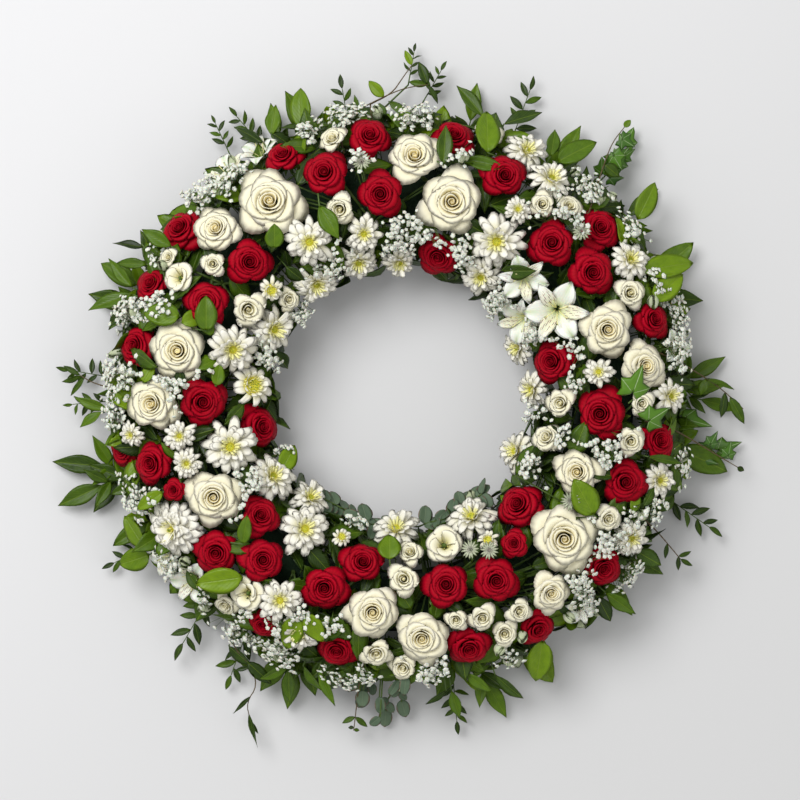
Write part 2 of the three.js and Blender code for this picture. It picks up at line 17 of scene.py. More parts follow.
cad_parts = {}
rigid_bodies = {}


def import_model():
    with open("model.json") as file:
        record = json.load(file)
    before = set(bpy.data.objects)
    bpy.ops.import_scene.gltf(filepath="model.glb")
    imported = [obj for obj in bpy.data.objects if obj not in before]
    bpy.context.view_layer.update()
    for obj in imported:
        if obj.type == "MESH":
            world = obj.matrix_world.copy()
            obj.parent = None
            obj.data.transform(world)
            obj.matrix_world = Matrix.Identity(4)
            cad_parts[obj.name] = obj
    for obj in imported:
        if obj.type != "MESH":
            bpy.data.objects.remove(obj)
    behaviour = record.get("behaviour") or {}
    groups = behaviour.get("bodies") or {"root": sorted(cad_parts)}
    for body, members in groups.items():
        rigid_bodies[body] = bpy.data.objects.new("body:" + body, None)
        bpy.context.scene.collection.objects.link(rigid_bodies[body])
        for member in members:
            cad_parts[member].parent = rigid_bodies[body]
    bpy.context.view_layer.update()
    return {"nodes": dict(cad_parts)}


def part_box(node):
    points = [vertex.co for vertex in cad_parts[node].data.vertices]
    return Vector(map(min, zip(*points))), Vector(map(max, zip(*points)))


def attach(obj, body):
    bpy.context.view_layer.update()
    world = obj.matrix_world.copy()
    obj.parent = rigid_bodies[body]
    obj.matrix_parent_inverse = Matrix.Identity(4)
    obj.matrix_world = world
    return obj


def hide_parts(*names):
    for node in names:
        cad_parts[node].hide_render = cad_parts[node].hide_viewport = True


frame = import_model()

print("nodes in the frame:", len(frame["nodes"]))

# %% [markdown]
# Florists build a wreath round a core: every bloom points straight away from one circle that runs
# through the foam. Plain X, Y and Z would make each leaf and stem a sum of its own, so a place is
# given by two angles instead, the turn round the ring and the lean from the outer side over the
# top to the inner side. A level is the distance from the circle. Lengths are in millimetres until
# a mesh is made.

# %% Sizes of the wreath
MM = 0.001
RING_RADIUS = 208.0  # from the wreath's centre to the core circle
CORE_HEIGHT = 32.0  # the core circle over the floor
FACE_LEVEL = 86.0  # the faces of the open flowers
PACK_LEVEL = 80.0  # where the flower heads are widest
NECK_LEVEL = 56.0  # the underside of the flower heads
PEG_LEVEL = 13.0  # how deep the foot of a bunch goes into the foam
FACE_SIDE_REACH = 84.0  # faces lie no further than this to either side of the core circle
PACK_CLEARANCE = 0.8
FULLNESS = 1.08  # blooms are a little wider than what shows of them between the others
STALK_ROOM = 2.4
SETTLE_ROUNDS = 500

tray_low, tray_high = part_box("tray")
RING_CENTRE = np.array([(tray_low.x + tray_high.x) / 2, (tray_low.y + tray_high.y) / 2, 0.0]) / MM
print("ring centre, mm:", RING_CENTRE.round(2))

# %% [markdown]
# The blooms could be scattered at random, but then this would be another wreath. They were laid
# out from the photograph instead, each as x, y and radius seen from above, and grouped in the
# bunches that the florist wired together. Each bunch keeps its name from the frame.

# %% Where the blooms stand
RED_ROSES = [
    [(-77, 219, 24), (-128, 244, 20)],
    [(-32, 257, 22), (-21, 204, 24)],
    [(-194, 100, 24), (-150, 132, 23)],
    [(-210, 175, 24), (-253, 123, 20), (-266, 52, 22)],
    [(-284, -50, 21), (-247, -70, 22), (-224, -87, 13)],
    [(-203, -16, 25), (-139, -29, 23)],
    [(-140, -119, 21), (-136, -164, 22), (-186, -158, 24), (-138, -232, 17)],
    [(-38, -164, 22), (-62, -205, 24), (-57, -258, 22)],
    [(42, -189, 24), (99, -190, 24), (67, -246, 22)],
    [(118, -108, 25), (122, -160, 15)],
    [(140, -231, 21), (201, -168, 22)],
    [(226, -86, 24), (260, -44, 21), (203, -20, 26), (146, 36, 23)],
    [(258, 83, 20), (188, 121, 25), (203, 164, 23), (156, 153, 24)],
    [(35, 135, 23)],
    [(52, 266, 22), (104, 216, 24)],
]
WHITE_ROSES = [
    [(-135, 197, 34), (-176, 173, 24)],
    [(-224, 46, 30), (-245, -7, 27)],
    [(-193, -94, 27)],
    [(-32, -221, 27), (19, -235, 26)],
    [(160, -150, 33), (178, -75, 24), (153, -200, 20)],
    [(204, 69, 27), (238, 38, 24)],
    [(55, 202, 32), (15, 239, 26)],
]
SPRAY_ROSES = [
    [(-60, 200, 16), (-58, 247, 15)],
    [(-153, 88, 17), (-118, 100, 12), (-190, 130, 12), (-220, 116, 15), (-244, 135, 10)],
    [(-152, -196, 15), (-179, -214, 14)],
    [(-28, -254, 16), (-4, -266, 14), (7, -187, 16), (9, -151, 13), (46, -150, 18)],
    [(76, -215, 14), (52, -219, 11), (118, -221, 13), (95, -238, 14)],
    [(237, -42, 14), (248, 5, 12), (212, -120, 14), (158, -7, 15), (142, -38, 16)],
    [(221, 104, 16), (178, 192, 13), (137, 191, 13), (87, 269, 15)],
]
DAISIES = [
    [(-95, 159, 22), (-87, 107, 19), (-139, 109, 12)],
    [(-43, 167, 18), (-40, 139, 19), (2, 131, 16)],
    [(-169, 50, 24), (-123, 69, 21), (-144, 9, 20)],
    [(-174, -51, 25), (-125, -81, 22), (-216, -44, 14), (-221, -67, 14)],
    [(-222, -121, 27), (-267, -45, 12)],
    [(-103, -127, 24), (-87, -98, 19), (-57, -137, 9)],
    [(-102, -198, 20), (-102, -239, 19)],
    [(-4, -128, 22), (67, -119, 22), (91, -142, 10)],
    [(264, -85, 17), (232, -148, 18)],
    [(112, -53, 19), (128, 7, 18), (105, 47, 18)],
    [(198, 26, 14), (264, 12, 17)],
    [(95, 160, 26), (79, 120, 19), (118, 197, 12)],
    [(133, 247, 20), (151, 220, 20), (230, 140, 19)],
]
ALSTROEMERIA = [
    [(165, 92, 26), (132, 114, 20), (135, 75, 20)],
    [(-178, 242, 22), (-150, 251, 17)],
    [(-245, -173, 20), (-218, -186, 19)],
]
GYPSOPHILA = [
    [(25, 162), (-70, 127)],
    [(-211, 14), (-175, -108)],
    [(74, 126), (195, 205)],
    [(-120, -203), (30, -273), (220, -138)],
]
print("bunches of red roses:", len(RED_ROSES), "of daisies:", len(DAISIES))

# %% [markdown]
# The leaves come in sprays that are pushed into the side of the foam. Low leaves reach out under
# the blooms and high leaves come up between them. A leaf is x, y, heading in degrees, length,
# width and kind, and the point is its middle. These are the leaves that have solids of their own.

# %% Where the sprays lie
POINTED, BROAD, IVY, ROUND, NARROW, SMALL = range(6)
FOLIAGE = [
    ([(-317, 24, 170, 38, 11, NARROW), (-315, -6, 185, 34, 10, NARROW),
      (-294, 99, 165, 46, 20, POINTED), (-285, 125, 150, 44, 20, BROAD),
      (-254, 152, 120, 42, 18, POINTED)],
     [(-232, 79, 175, 36, 24, BROAD), (-205, 76, 90, 34, 22, BROAD),
      (-110, 42, 330, 32, 13, NARROW)]),
    ([(-327, -68, 175, 52, 19, POINTED), (-325, -100, 205, 50, 19, POINTED),
      (-300, -101, 235, 42, 17, POINTED), (-297, -76, 160, 42, 17, POINTED),
      (-273, -138, 215, 46, 18, BROAD)],
     [(-140, -143, 80, 30, 14, BROAD)]),
    ([(-272, -160, 205, 40, 15, NARROW), (-207, -227, 240, 52, 12, NARROW),
      (-163, -259, 250, 50, 14, NARROW), (-129, -280, 235, 44, 20, POINTED),
      (-111, -296, 260, 42, 18, POINTED), (-91, -284, 285, 42, 20, POINTED)],
     [(-179, -187, 190, 48, 27, BROAD), (-116, -232, 250, 38, 23, BROAD),
      (-80, -228, 300, 32, 20, BROAD)]),
    ([(-50, -292, 255, 24, 21, ROUND), (-39, -309, 240, 22, 20, ROUND),
      (-15, -328, 265, 22, 20, ROUND), (4, -318, 285, 22, 20, ROUND),
      (56, -309, 275, 40, 15, NARROW), (97, -306, 300, 46, 17, POINTED),
      (142, -271, 305, 48, 28, BROAD)],
     [(-15, -148, 90, 28, 24, BROAD)]),
    ([(222, -205, 310, 44, 18, POINTED), (250, -170, 330, 42, 18, POINTED),
      (294, -118, 325, 48, 13, NARROW), (308, -64, 335, 54, 27, BROAD),
      (330, -52, 20, 34, 24, IVY), (296, -24, 345, 40, 26, IVY)],
     [(177, -106, 120, 42, 29, BROAD), (125, -72, 60, 38, 19, POINTED),
      (255, -23, 30, 34, 28, IVY)]),
    ([(312, 30, 30, 44, 15, POINTED), (308, 10, 5, 46, 15, POINTED),
      (326, -8, 345, 42, 14, POINTED), (277, 139, 40, 56, 25, BROAD),
      (286, 100, 355, 44, 19, POINTED)],
     [(228, 8, 70, 38, 32, IVY)]),
    ([(247, 198, 40, 44, 16, POINTED), (222, 241, 50, 32, 24, IVY),
      (232, 262, 65, 28, 22, IVY), (172, 256, 60, 48, 18, POINTED),
      (124, 290, 70, 46, 17, NARROW)],
     [(103, 252, 85, 48, 25, BROAD), (131, 130, 10, 38, 18, POINTED)]),
    ([(75, 300, 80, 40, 16, POINTED), (34, 318, 60, 30, 13, NARROW),
      (12, 338, 80, 26, 12, NARROW), (-55, 292, 100, 42, 10, NARROW),
      (-104, 289, 120, 52, 22, POINTED), (-128, 280, 100, 38, 15, POINTED),
      (-154, 271, 130, 36, 15, NARROW), (-181, 264, 115, 30, 14, NARROW)],
     [(40, 245, 85, 42, 17, POINTED), (-67, 175, 300, 38, 19, POINTED),
      (-133, 156, 90, 24, 19, BROAD)]),
]
LOW_LEAF_HEIGHTS = (10.0, 18.5)  # neighbouring leaves lie at different heights
print("sprays:", len(FOLIAGE), "low leaves:", sum(len(low) for low, high in FOLIAGE))

# %% [markdown]
# A spray has more leaves than its solid. The ones that show as shapes of their own, over a bloom
# or against the wall, are laid one by one, and the rest are drawn at random later. A vine is a
# line of points with heights, and each of its leaves stands at a share of its length.

# %% Where single leaves and vines lie
LAID_LEAVES = [
    (71, 300, 128, 44, 15, POINTED), (124, 282, 18, 40, 15, POINTED), (82, 234, 167, 46, 15, POINTED),
    (155, 257, 77, 30, 15, POINTED), (178, 247, 28, 44, 22, BROAD), (249, 198, 63, 42, 21, BROAD),
    (238, 168, 116, 46, 11, POINTED), (270, 132, 12, 54, 25, BROAD), (270, 111, 41, 42, 24, BROAD),
    (-100, 292, 94, 40, 22, BROAD), (-128, 280, 83, 32, 16, POINTED), (-154, 266, 150, 38, 11, NARROW),
    (-116, 258, 327, 34, 14, SMALL), (-78, 271, 345, 36, 10, POINTED), (-275, 154, 170, 32, 10, NARROW),
    (-245, 160, 150, 36, 16, POINTED), (-271, 135, 176, 32, 11, SMALL), (-283, 125, 132, 39, 12, POINTED),
    (-292, 96, 197, 48, 16, POINTED), (-285, 82, 225, 30, 13, POINTED), (-206, 79, 20, 27, 17, BROAD),
    (-192, 70, 300, 20, 14, BROAD), (-312, -6, 160, 37, 12, POINTED), (-313, -23, 214, 28, 11, POINTED),
    (-252, 24, 60, 22, 13, BROAD), (-182, 22, 80, 22, 14, BROAD), (-270, -136, 128, 40, 20, BROAD),
    (-269, -165, 200, 34, 24, BROAD), (-251, -104, 213, 32, 15, BROAD), (-128, -279, 205, 32, 12, POINTED),
    (-113, -293, 267, 36, 15, POINTED), (-88, -284, 307, 32, 12, POINTED),
    (-161, -262, 318, 32, 14, SMALL), (-74, -293, 294, 40, 10, POINTED), (36, -304, 215, 26, 7, SMALL),
    (56, -311, 285, 30, 12, POINTED), (79, -288, 322, 34, 12, POINTED), (110, -295, 314, 40, 12, SMALL),
    (141, -267, 265, 44, 26, BROAD), (222, -208, 324, 38, 14, POINTED), (206, -214, 300, 30, 16, SMALL),
    (250, -162, 330, 30, 18, SMALL), (277, -80, 280, 26, 12, POINTED), (267, -63, 350, 38, 9, POINTED),
    (236, -106, 70, 20, 11, BROAD), (250, -100, 60, 25, 10, SMALL), (-112, -61, 60, 30, 20, BROAD),
    (5, -291, 262, 20, 11, ROUND), (-6, -293, 240, 18, 10, ROUND), (-20, -312, 275, 19, 11, ROUND),
    (-50, -290, 200, 19, 15, ROUND), (-38, -305, 265, 18, 15, ROUND), (-25, -328, 225, 14, 10, ROUND),
]
VINES = [
    ([(-60, 262, 74), (-54, 284, 58), (-35, 294, 52), (-5, 309, 46), (12, 314, 42), (28, 316, 40)],
     [(1.0, 172, 20, 8, SMALL), (1.0, 110, 25, 11, SMALL), (1.0, 300, 22, 6, SMALL),
      (0.5, 135, 23, 12, BROAD), (0.35, 105, 16, 5, POINTED)]),
    ([(-30, 296, 50), (-8, 307, 46), (2, 322, 42), (12, 336, 38)], [(1.0, 115, 17, 7, BROAD)]),
    ([(190, 186, 84), (200, 217, 62), (207, 238, 50), (215, 258, 44), (227, 273, 40)],
     [(1.0, 50, 10, 7, BROAD), (0.80, 330, 20, 20, IVY), (0.62, 300, 26, 24, IVY),
      (0.48, 320, 20, 14, SMALL)]),
    ([(262, 44, 76), (285, 34, 50), (308, 20, 40), (326, 8, 34), (348, -12, 28)],
     [(0.5, 340, 31, 6, SMALL), (0.55, 250, 18, 11, SMALL), (0.72, 265, 26, 9, SMALL),
      (0.80, 298, 31, 11, SMALL)]),
    ([(262, -26, 70), (286, -38, 50), (310, -52, 38), (325, -61, 32), (342, -71, 28)],
     [(0.5, 60, 20, 16, IVY), (0.80, 75, 20, 18, IVY), (1.0, 330, 8, 6, SMALL)]),
    ([(240, -118, 80), (258, -134, 60), (272, -150, 44), (284, -164, 34)],
     [(0.6, 262, 16, 5, SMALL), (1.0, 330, 14, 5, SMALL), (0.85, 20, 14, 5, SMALL),
      (0.85, 270, 14, 5, SMALL)]),
    ([(-160, -222, 76), (-172, -248, 56), (-152, -270, 42), (-144, -292, 34), (-156, -310, 28),
      (-152, -328, 22)],
     [(0.45, 195, 16, 5, SMALL), (0.7, 225, 26, 5, NARROW), (0.85, 285, 36, 6, NARROW),
      (0.4, 318, 34, 14, SMALL), (1.0, 300, 16, 4, SMALL)]),
    ([(-34, -262, 80), (-41, -286, 60), (-43, -303, 46), (-45, -322, 36), (-47, -338, 28)],
     [(0.72, 205, 15, 6, SMALL), (0.72, 320, 16, 6, SMALL), (0.9, 180, 6, 4, SMALL),
      (0.95, 350, 6, 4, SMALL)]),
    ([(-272, 6, 70), (-296, 10, 50), (-312, 15, 40), (-324, 22, 34)],
     [(1.0, 150, 20, 6, SMALL), (0.8, 230, 24, 6, SMALL), (0.9, 200, 20, 7, SMALL)]),
]
print("laid leaves:", len(LAID_LEAVES), "vines:", len(VINES))

# %% [markdown]
# A helper turns a place seen from above into a turn and a lean, and others go from there to a
# direction or a point. With them the rest of the lesson can forget the ring's shape.

# %% Places on the tube
LEAN_LIMIT = math.acos(FACE_SIDE_REACH / FACE_LEVEL)


def place_over(x, y):
    """Turn and lean of the bloom whose face lies over a place in the photograph."""
    side = min(max(math.hypot(x, y) - RING_RADIUS, -FACE_SIDE_REACH), FACE_SIDE_REACH)
    return math.atan2(y, x), math.acos(side / FACE_LEVEL)


def outwards(turn, lean):
    """The direction that points away from the core circle."""
    flat = np.cos(lean)
    return np.stack([flat * np.cos(turn), flat * np.sin(turn), np.sin(lean)], -1)


def point_at(turn, lean, level):
    """The point at a turn, a lean and a level."""
    core = np.stack([RING_RADIUS * np.cos(turn), RING_RADIUS * np.sin(turn),
                     CORE_HEIGHT + 0 * np.asarray(turn)], -1)
    return core + outwards(turn, lean) * np.asarray(level)[..., None]


def place_of(points):
    """The turn and lean of points, kept within the reach of the faces."""
    side = np.hypot(points[..., 0], points[..., 1]) - RING_RADIUS
    lean = np.arctan2(points[..., 2] - CORE_HEIGHT, side)
    turn = np.arctan2(points[..., 1], points[..., 0])
    return turn, np.clip(lean, LEAN_LIMIT, math.pi - LEAN_LIMIT)


print("a face on top of the ring, mm:", point_at(0.0, math.pi / 2, FACE_LEVEL).round(1))

# %% [markdown]
# Two blooms can't fill one place. A physics simulation could push them apart, but a florist only
# eases them along the ring until every head has room, and a short loop does the same. The solid
# model uses this rule too, so each head stands where its solid stands.

# %% Room for every head
def settle(items, rounds=SETTLE_ROUNDS):
    """Eases the items apart. Each item is a dict with turn, lean and room."""
    at = np.array([point_at(i["turn"], i["lean"], PACK_LEVEL) for i in items])
    room = np.array([i["room"] for i in items])
    need = room[:, None] + room[None, :] + PACK_CLEARANCE
    for _ in range(rounds):
        gaps = np.linalg.norm(at[:, None] - at[None, :], axis=2)
        close = np.argwhere(np.triu(gaps < need + 2.0, 1))
        for a, b in close:
            apart = at[b] - at[a]
            distance = np.linalg.norm(apart)
            lack = need[a, b] - distance
            if lack > 0:
                share = room[b] / (room[a] + room[b])
                step = apart * (0.6 * lack / distance)
                at[a] -= step * share
                at[b] += step * (1 - share)
        turn, lean = place_of(at)
        at = point_at(turn, lean, PACK_LEVEL)
    for item, t, l in zip(items, turn, lean):
        item["turn"], item["lean"] = float(t), float(l)


def bloom_items(kind, lists, share):
    """The blooms of one kind. The share of its radius that a bloom keeps for itself is its room."""
    items = []
    for number, bunch in enumerate(lists, 1):
        for x, y, radius in bunch:
            turn, lean = place_over(x, y)
            items.append({"node": f"{kind}_{number}", "kind": kind, "turn": turn, "lean": lean,
                          "radius": radius, "room": radius * share * FULLNESS})
    return items


def stalk_item(kind, node, x, y, heading=0.0, back=0.0, **more):
    """A thin stalk that needs room, such as a leaf's, which stands back from the leaf's middle."""
    angle = math.radians(heading)
    turn, lean = place_over(x - back * math.cos(angle), y - back * math.sin(angle))
    return {"kind": kind, "node": node, "turn": turn, "lean": lean, "room": STALK_ROOM,
            "angle": angle, **more}


items = []
for kind, lists, share in (("red_roses", RED_ROSES, 0.97), ("white_roses", WHITE_ROSES, 0.97),
                           ("spray_roses", SPRAY_ROSES, 0.97), ("daisies", DAISIES, 0.92),
                           ("alstroemeria", ALSTROEMERIA, 0.92)):
    items += bloom_items(kind, lists, share)
for number, masts in enumerate(GYPSOPHILA, 1):
    items += [stalk_item("cloud", f"gypsophila_{number}", x, y) for x, y in masts]
for number, (low, high) in enumerate(FOLIAGE, 1):
    for x, y, heading, length, width, leaf in high:
        items.append(stalk_item("leaf", f"foliage_{number}", x, y, heading, length / 2,
                                size=(length, width), leaf=leaf))
settle(items)
blooms = [item for item in items if "radius" in item]
print("blooms:", len(blooms), "stalks:", len(items) - len(blooms))

# %% [markdown]
# A petal is thinner than half a millimetre. A single sheet would show it, but a sheet has no
# inside and no outside. Each petal is therefore a closed skin: a front and a back grid of points
# that share their border. Every point also carries a few numbers, such as how far along its petal
# it lies, and the materials read them later.

# %% Closed skins
MARKS = ("layer", "along", "across", "petal", "finish")


class Skin:
    """Points, faces and marks of one template, collected before the mesh is made."""

    def __init__(self):
        self.points = []
        self.faces = []
        self.marks = {name: [] for name in MARKS}
        self.count = 0

    def add(self, points, faces, **marks):
        points = np.asarray(points, float).reshape(-1, 3)
        self.points.append(points)
        self.faces += [tuple(int(i) + self.count for i in face) for face in faces]
        for name in MARKS:
            value = np.broadcast_to(np.asarray(marks.get(name, 0.0), float), len(points))
            self.marks[name].append(value)
        self.count += len(points)

    def sheet(self, grid, thickness, along, across, **marks):
        """A closed skin over a grid of points [row, column], its front facing row x column."""
        rows, cols = grid.shape[:2]
        normal = np.cross(np.gradient(grid, axis=0), np.gradient(grid, axis=1))
        normal /= np.maximum(np.linalg.norm(normal, axis=2, keepdims=True), 1e-9)
        front = grid.copy()
        front[1:-1, 1:-1] += normal[1:-1, 1:-1] * thickness / 2
        back = grid[1:-1, 1:-1] - normal[1:-1, 1:-1] * thickness / 2
        index = np.arange(rows * cols).reshape(rows, cols)
        behind = index.copy()
        behind[1:-1, 1:-1] = rows * cols + np.arange((rows - 2) * (cols - 2)).reshape(
            rows - 2, cols - 2)
        faces = []
        for i in range(rows - 1):
            for j in range(cols - 1):
                a, b, c, d = (i, j), (i + 1, j), (i + 1, j + 1), (i, j + 1)
                faces.append([index[q] for q in (a, b, c, d)])
                faces.append([behind[q] for q in (d, c, b, a)])

        def both(values):
            values = np.broadcast_to(values, (rows, cols))
            return np.concatenate([values.ravel(), values[1:-1, 1:-1].ravel()])

        points = np.concatenate([front.reshape(-1, 3), back.reshape(-1, 3)])
        self.add(points, faces, along=both(along), across=both(across), **marks)

    def lathe(self, profile, sides, swing=0.0, **marks):
        """A turned body round Z from (radius, height) pairs that start and end on the axis."""
        inner = profile[1:-1]
        points = [(0, 0, profile[0][1])]
        for radius, height in inner:
            for i in range(sides):
                angle = 2 * math.pi * i / sides
                reach = radius * (1 + swing * (1 if i % 2 else -1))
                points.append((reach * math.cos(angle), reach * math.sin(angle), height))
        points.append((0, 0, profile[-1][1]))
        last = len(points) - 1
        faces = []
        for i in range(sides):
            j = (i + 1) % sides
            faces.append((0, 1 + j, 1 + i))
            for ring in range(len(inner) - 1):
                low, high = 1 + ring * sides, 1 + (ring + 1) * sides
                faces.append((low + i, low + j, high + j, high + i))
            rim = 1 + (len(inner) - 1) * sides
            faces.append((last, rim + i, rim + j))
        self.add(points, faces, **marks)

    def spike(self, x, y, foot, top, size, sides, turn=0.0, **marks):
        """A small pyramid on a ring of a few points."""
        angles = turn + 2 * math.pi * np.arange(sides) / sides
        ring = [(x + size * math.cos(a), y + size * math.sin(a), foot) for a in angles]
        walls = [(i, (i + 1) % sides, sides) for i in range(sides)]
        self.add([*ring, (x, y, top)], [*walls, tuple(range(sides))[::-1]], **marks)

    def mesh(self, name):
        mesh = bpy.data.meshes.new(name)
        mesh.from_pydata(np.concatenate(self.points).tolist(), [], self.faces)
        for mark in MARKS:
            values = np.concatenate(self.marks[mark]).astype(np.float32)
            mesh.attributes.new(mark, "FLOAT", "POINT").data.foreach_set("value", values)
        mesh.shade_smooth()
        mesh.update()
        return mesh


print("marks on every point:", MARKS)

# %% [markdown]
# A wreath has 39 red roses, but no one sees that some are sisters. Each kind of head, leaf and
# floret is made in a few variants, kept as templates in one collection, and planted many times.
# The planting picks a template by its number, so each kind notes the numbers of its variants.

# %% A shelf for templates
TEMPLATES = bpy.data.collections.new("templates")
VARIANTS = {}


def keep_templates(kind, skins):
    """Adds the variants of one kind and notes their numbers."""
    first = len(TEMPLATES.objects)
    for number, skin in enumerate(skins):
        name = f"t{first + number:03d}_{kind}"
        TEMPLATES.objects.link(bpy.data.objects.new(name, skin.mesh(name)))
    VARIANTS[kind] = list(range(first, first + len(skins)))
    faces = [sum(len(p.vertices) - 2 for p in TEMPLATES.objects[i].data.polygons)
             for i in VARIANTS[kind]]
    print(f"{kind}: {len(skins)} variants, {faces[0]} triangles")


# %% [markdown]
# Most garden flowers sit in a green cup with pointed sepals. It could be left out under a full
# head, but it shows from the side. Its grids are laid out round the flower's axis, and so are those
# of all petals: lengths are shares of the bloom's radius, and the face of the bloom lies at zero.

# %% The green cup
PETAL_THICKNESS = 0.014


def blend(a, b, share):
    """The value at a share of the way from a to b."""
    return a + (b - a) * share


def grid_of(x, y, z):
    """One grid of points from three grids of numbers."""
    return np.stack(np.broadcast_arrays(x, y, z), -1)


def round_grid(radius, angle, height):
    """Points at a radius and an angle about the axis."""
    return grid_of(radius * np.cos(angle), radius * np.sin(angle), height)


def polar_grid(radius, side, height, turn):
    """Points at a radius and a sideways shift, turned about the axis."""
    x = radius * math.cos(turn) - side * math.sin(turn)
    y = radius * math.sin(turn) + side * math.cos(turn)
    return grid_of(x, y, height)


def petal_net(rows, cols):
    """Shares of a petal's length, down the rows, and of its half width, from -1 to 1 across."""
    return np.linspace(0, 1, rows)[:, None], np.linspace(-1, 1, cols)[None, :]


def swelling(share):
    """Rises from 0 to 1 halfway along, and falls back to 0."""
    return np.sin(np.pi * np.clip(share, 0, 1))


def calyx(skin, depth, draw, sepals=5):
    """The green cup under a bloom and its pointed sepals."""
    skin.lathe([(0, -depth - 0.16), (0.10, -depth - 0.1), (0.17, -depth + 0.02),
                (0.15, -depth + 0.14), (0, -depth + 0.16)], 8, finish=1.0, along=0.5)
    for k in range(sepals):
        v, u = petal_net(5, 3)
        half = 0.09 * swelling(0.2 + 0.8 * v) + 0.004
        radius = 0.12 + 0.46 * v
        height = -depth + 0.08 + 0.10 * np.sin(v * 2.6) - 0.16 * v * v
        turn = 2 * math.pi * k / sepals + draw.normal(0, 0.1)
        grid = polar_grid(radius, u * half, height, turn)
        skin.sheet(grid, 0.02, v, u, finish=1.0)


print("petal thickness on a 24 mm bloom, mm:", round(PETAL_THICKNESS * 24, 2))

# %% [markdown]
# A rose is a spiral. Petal after petal leaves the stem at the golden angle, the first ones rolled
# tight and upright, the last ones wide open with their rims turned down. Sculpting them would give
# one rose. One formula gives them all: how far out the rim stands, how high it is, how far it
# reaches round, and how much it curls. Red roses are tight, white ones wide and ruffled, and spray
# roses have few petals.

# %% Roses
GOLDEN_ANGLE = math.pi * (3 - math.sqrt(5))


def rose(seed, petals, depth, ruffle=0.02, drop=0.42, point=0.05, crowd=1.2, grid=(7, 9)):
    """A rose of many petals, from rolled tight in the middle to wide open outside."""
    draw = np.random.default_rng(seed)
    skin = Skin()
    v, u = petal_net(*grid)
    v = v ** 0.85
    for k in range(petals):
        t = k / (petals - 1)
        rim = blend(0.045, 1.0, t ** crowd) * (1 + draw.normal(0, 0.03))
        height = -0.05 * (1 - t) ** 5 - drop * t ** 2.0 + draw.normal(0, 0.022)
        reach = blend(2.4, 0.88, t ** 0.4) * (1 + draw.normal(0, 0.06))
        turn = k * GOLDEN_ANGLE + draw.normal(0, 0.12)
        low = v * (1 - 0.26 * (0.35 + 0.65 * t) * np.abs(u) ** 2.4)
        upright = low ** 0.30
        flared = 0.55 * low ** 0.5 + 0.45 * low ** 4
        radius = 0.03 + (rim - 0.03) * ((1 - t) * upright + t * flared)
        radius = radius + 0.024 * u * (1.15 - t) + 0.05 * t * np.abs(u) ** 3 * low
        curl = 1 + 0.46 * t ** 1.8 + draw.normal(0, 0.04) * t
        z = -depth + (depth + height) * np.sin(low * (math.pi / 2) * curl)
        wave = low ** 4 * (0.25 + 0.75 * t)
        phase = draw.uniform(0, 6.28, 3)
        radius = radius + ruffle * wave * np.sin(3.6 * u + phase[0])
        z = z + ruffle * wave * np.sin(4.7 * u + phase[1])
        tip = np.exp(-(u * 2.6) ** 2) * low ** 6
        radius = radius + point * t * tip
        wide = reach * (0.30 + 0.70 * np.sin(low * math.pi / 2) ** 0.8)
        angle = turn + u * wide
        points = round_grid(radius, angle, z)
        skin.sheet(points[:, ::-1], PETAL_THICKNESS, v, u[:, ::-1], layer=t, petal=draw.uniform())
    skin.lathe([(0, -depth), (0.06, -depth * 0.7), (0.09, -0.22), (0.05, -0.13), (0, -0.16)], 10,
               swing=0.12, layer=0.02, along=0.7)
    calyx(skin, depth, draw)
    return skin


keep_templates("red_roses", [rose(s, 22, 1.2) for s in range(6)])
keep_templates("white_roses", [rose(10 + s, 24, 0.95, ruffle=0.045, drop=0.36, point=0.12,
                                    crowd=1.05, grid=(7, 10)) for s in range(4)])
keep_templates("spray_roses", [rose(20 + s, 14, 1.25, ruffle=0.05, drop=0.24, point=0.08,
                                    crowd=1.0, grid=(6, 8)) for s in range(5)])

# %% [markdown]
# A lisianthus is an open bell. Two rows of broad thin petals overlap in a loose cup, and a green
# knob with yellow tips stands in its middle. The rose's formula would roll it shut, so it has one
# of its own, with fewer and flatter petals.

# %% Lisianthus
def bell(seed, petals=9, depth=0.95):
    """An open bell of overlapping petals with a green knob inside."""
    draw = np.random.default_rng(seed)
    skin = Skin()
    v, u = petal_net(8, 10)
    v = v ** 0.9
    for k in range(petals):
        outer = k >= petals // 2
        rim = (0.98 if outer else 0.74) * (1 + draw.normal(0, 0.04))
        height = (-0.26 if outer else -0.04) + draw.normal(0, 0.03)
        turn = k * GOLDEN_ANGLE + draw.normal(0, 0.15)
        low = v * (1 - 0.22 * np.abs(u) ** 2.2)
        radius = 0.06 + (rim - 0.06) * (0.5 * low ** 0.6 + 0.5 * low ** 2.2)
        radius = radius + 0.045 * u + 0.04 * low ** 4 * np.sin(3.1 * u + draw.uniform(0, 6))
        z = -depth + (depth + height) * np.sin(low * (math.pi / 2) * (1.35 if outer else 1.1))
        z = z + 0.04 * low ** 4 * np.sin(5.3 * u + draw.uniform(0, 6))
        angle = turn + u * blend(0.5, 0.98, np.sin(low * math.pi / 2))
        points = round_grid(radius, angle, z)
        skin.sheet(points[:, ::-1], PETAL_THICKNESS, v, u[:, ::-1], layer=0.9, petal=draw.uniform())
    skin.lathe([(0, -depth), (0.09, -0.7), (0.13, -0.5), (0.05, -0.36), (0, -0.34)], 8, finish=1.0)
    for k in range(5):
        turn = 2 * math.pi * k / 5
        x, y = 0.17 * math.cos(turn), 0.17 * math.sin(turn)
        skin.spike(x, y, -0.5, -0.36, 0.045, 3, layer=0.8, finish=2.0)
    calyx(skin, depth, draw)
    return skin


keep_templates("lisianthus", [bell(26 + s) for s in range(3)])

# %% [markdown]
# A spray chrysanthemum carries rows of broad white rays with blunt tips round a small eye. The
# rays of the inner row are short and stand up, and the last ones are pale yellow. The eye is a
# spiral of tiny florets. No ray lies quite like its neighbour, so each one gets its own length,
# lift and bend. Double heads and buttons are the same flower with other counts.

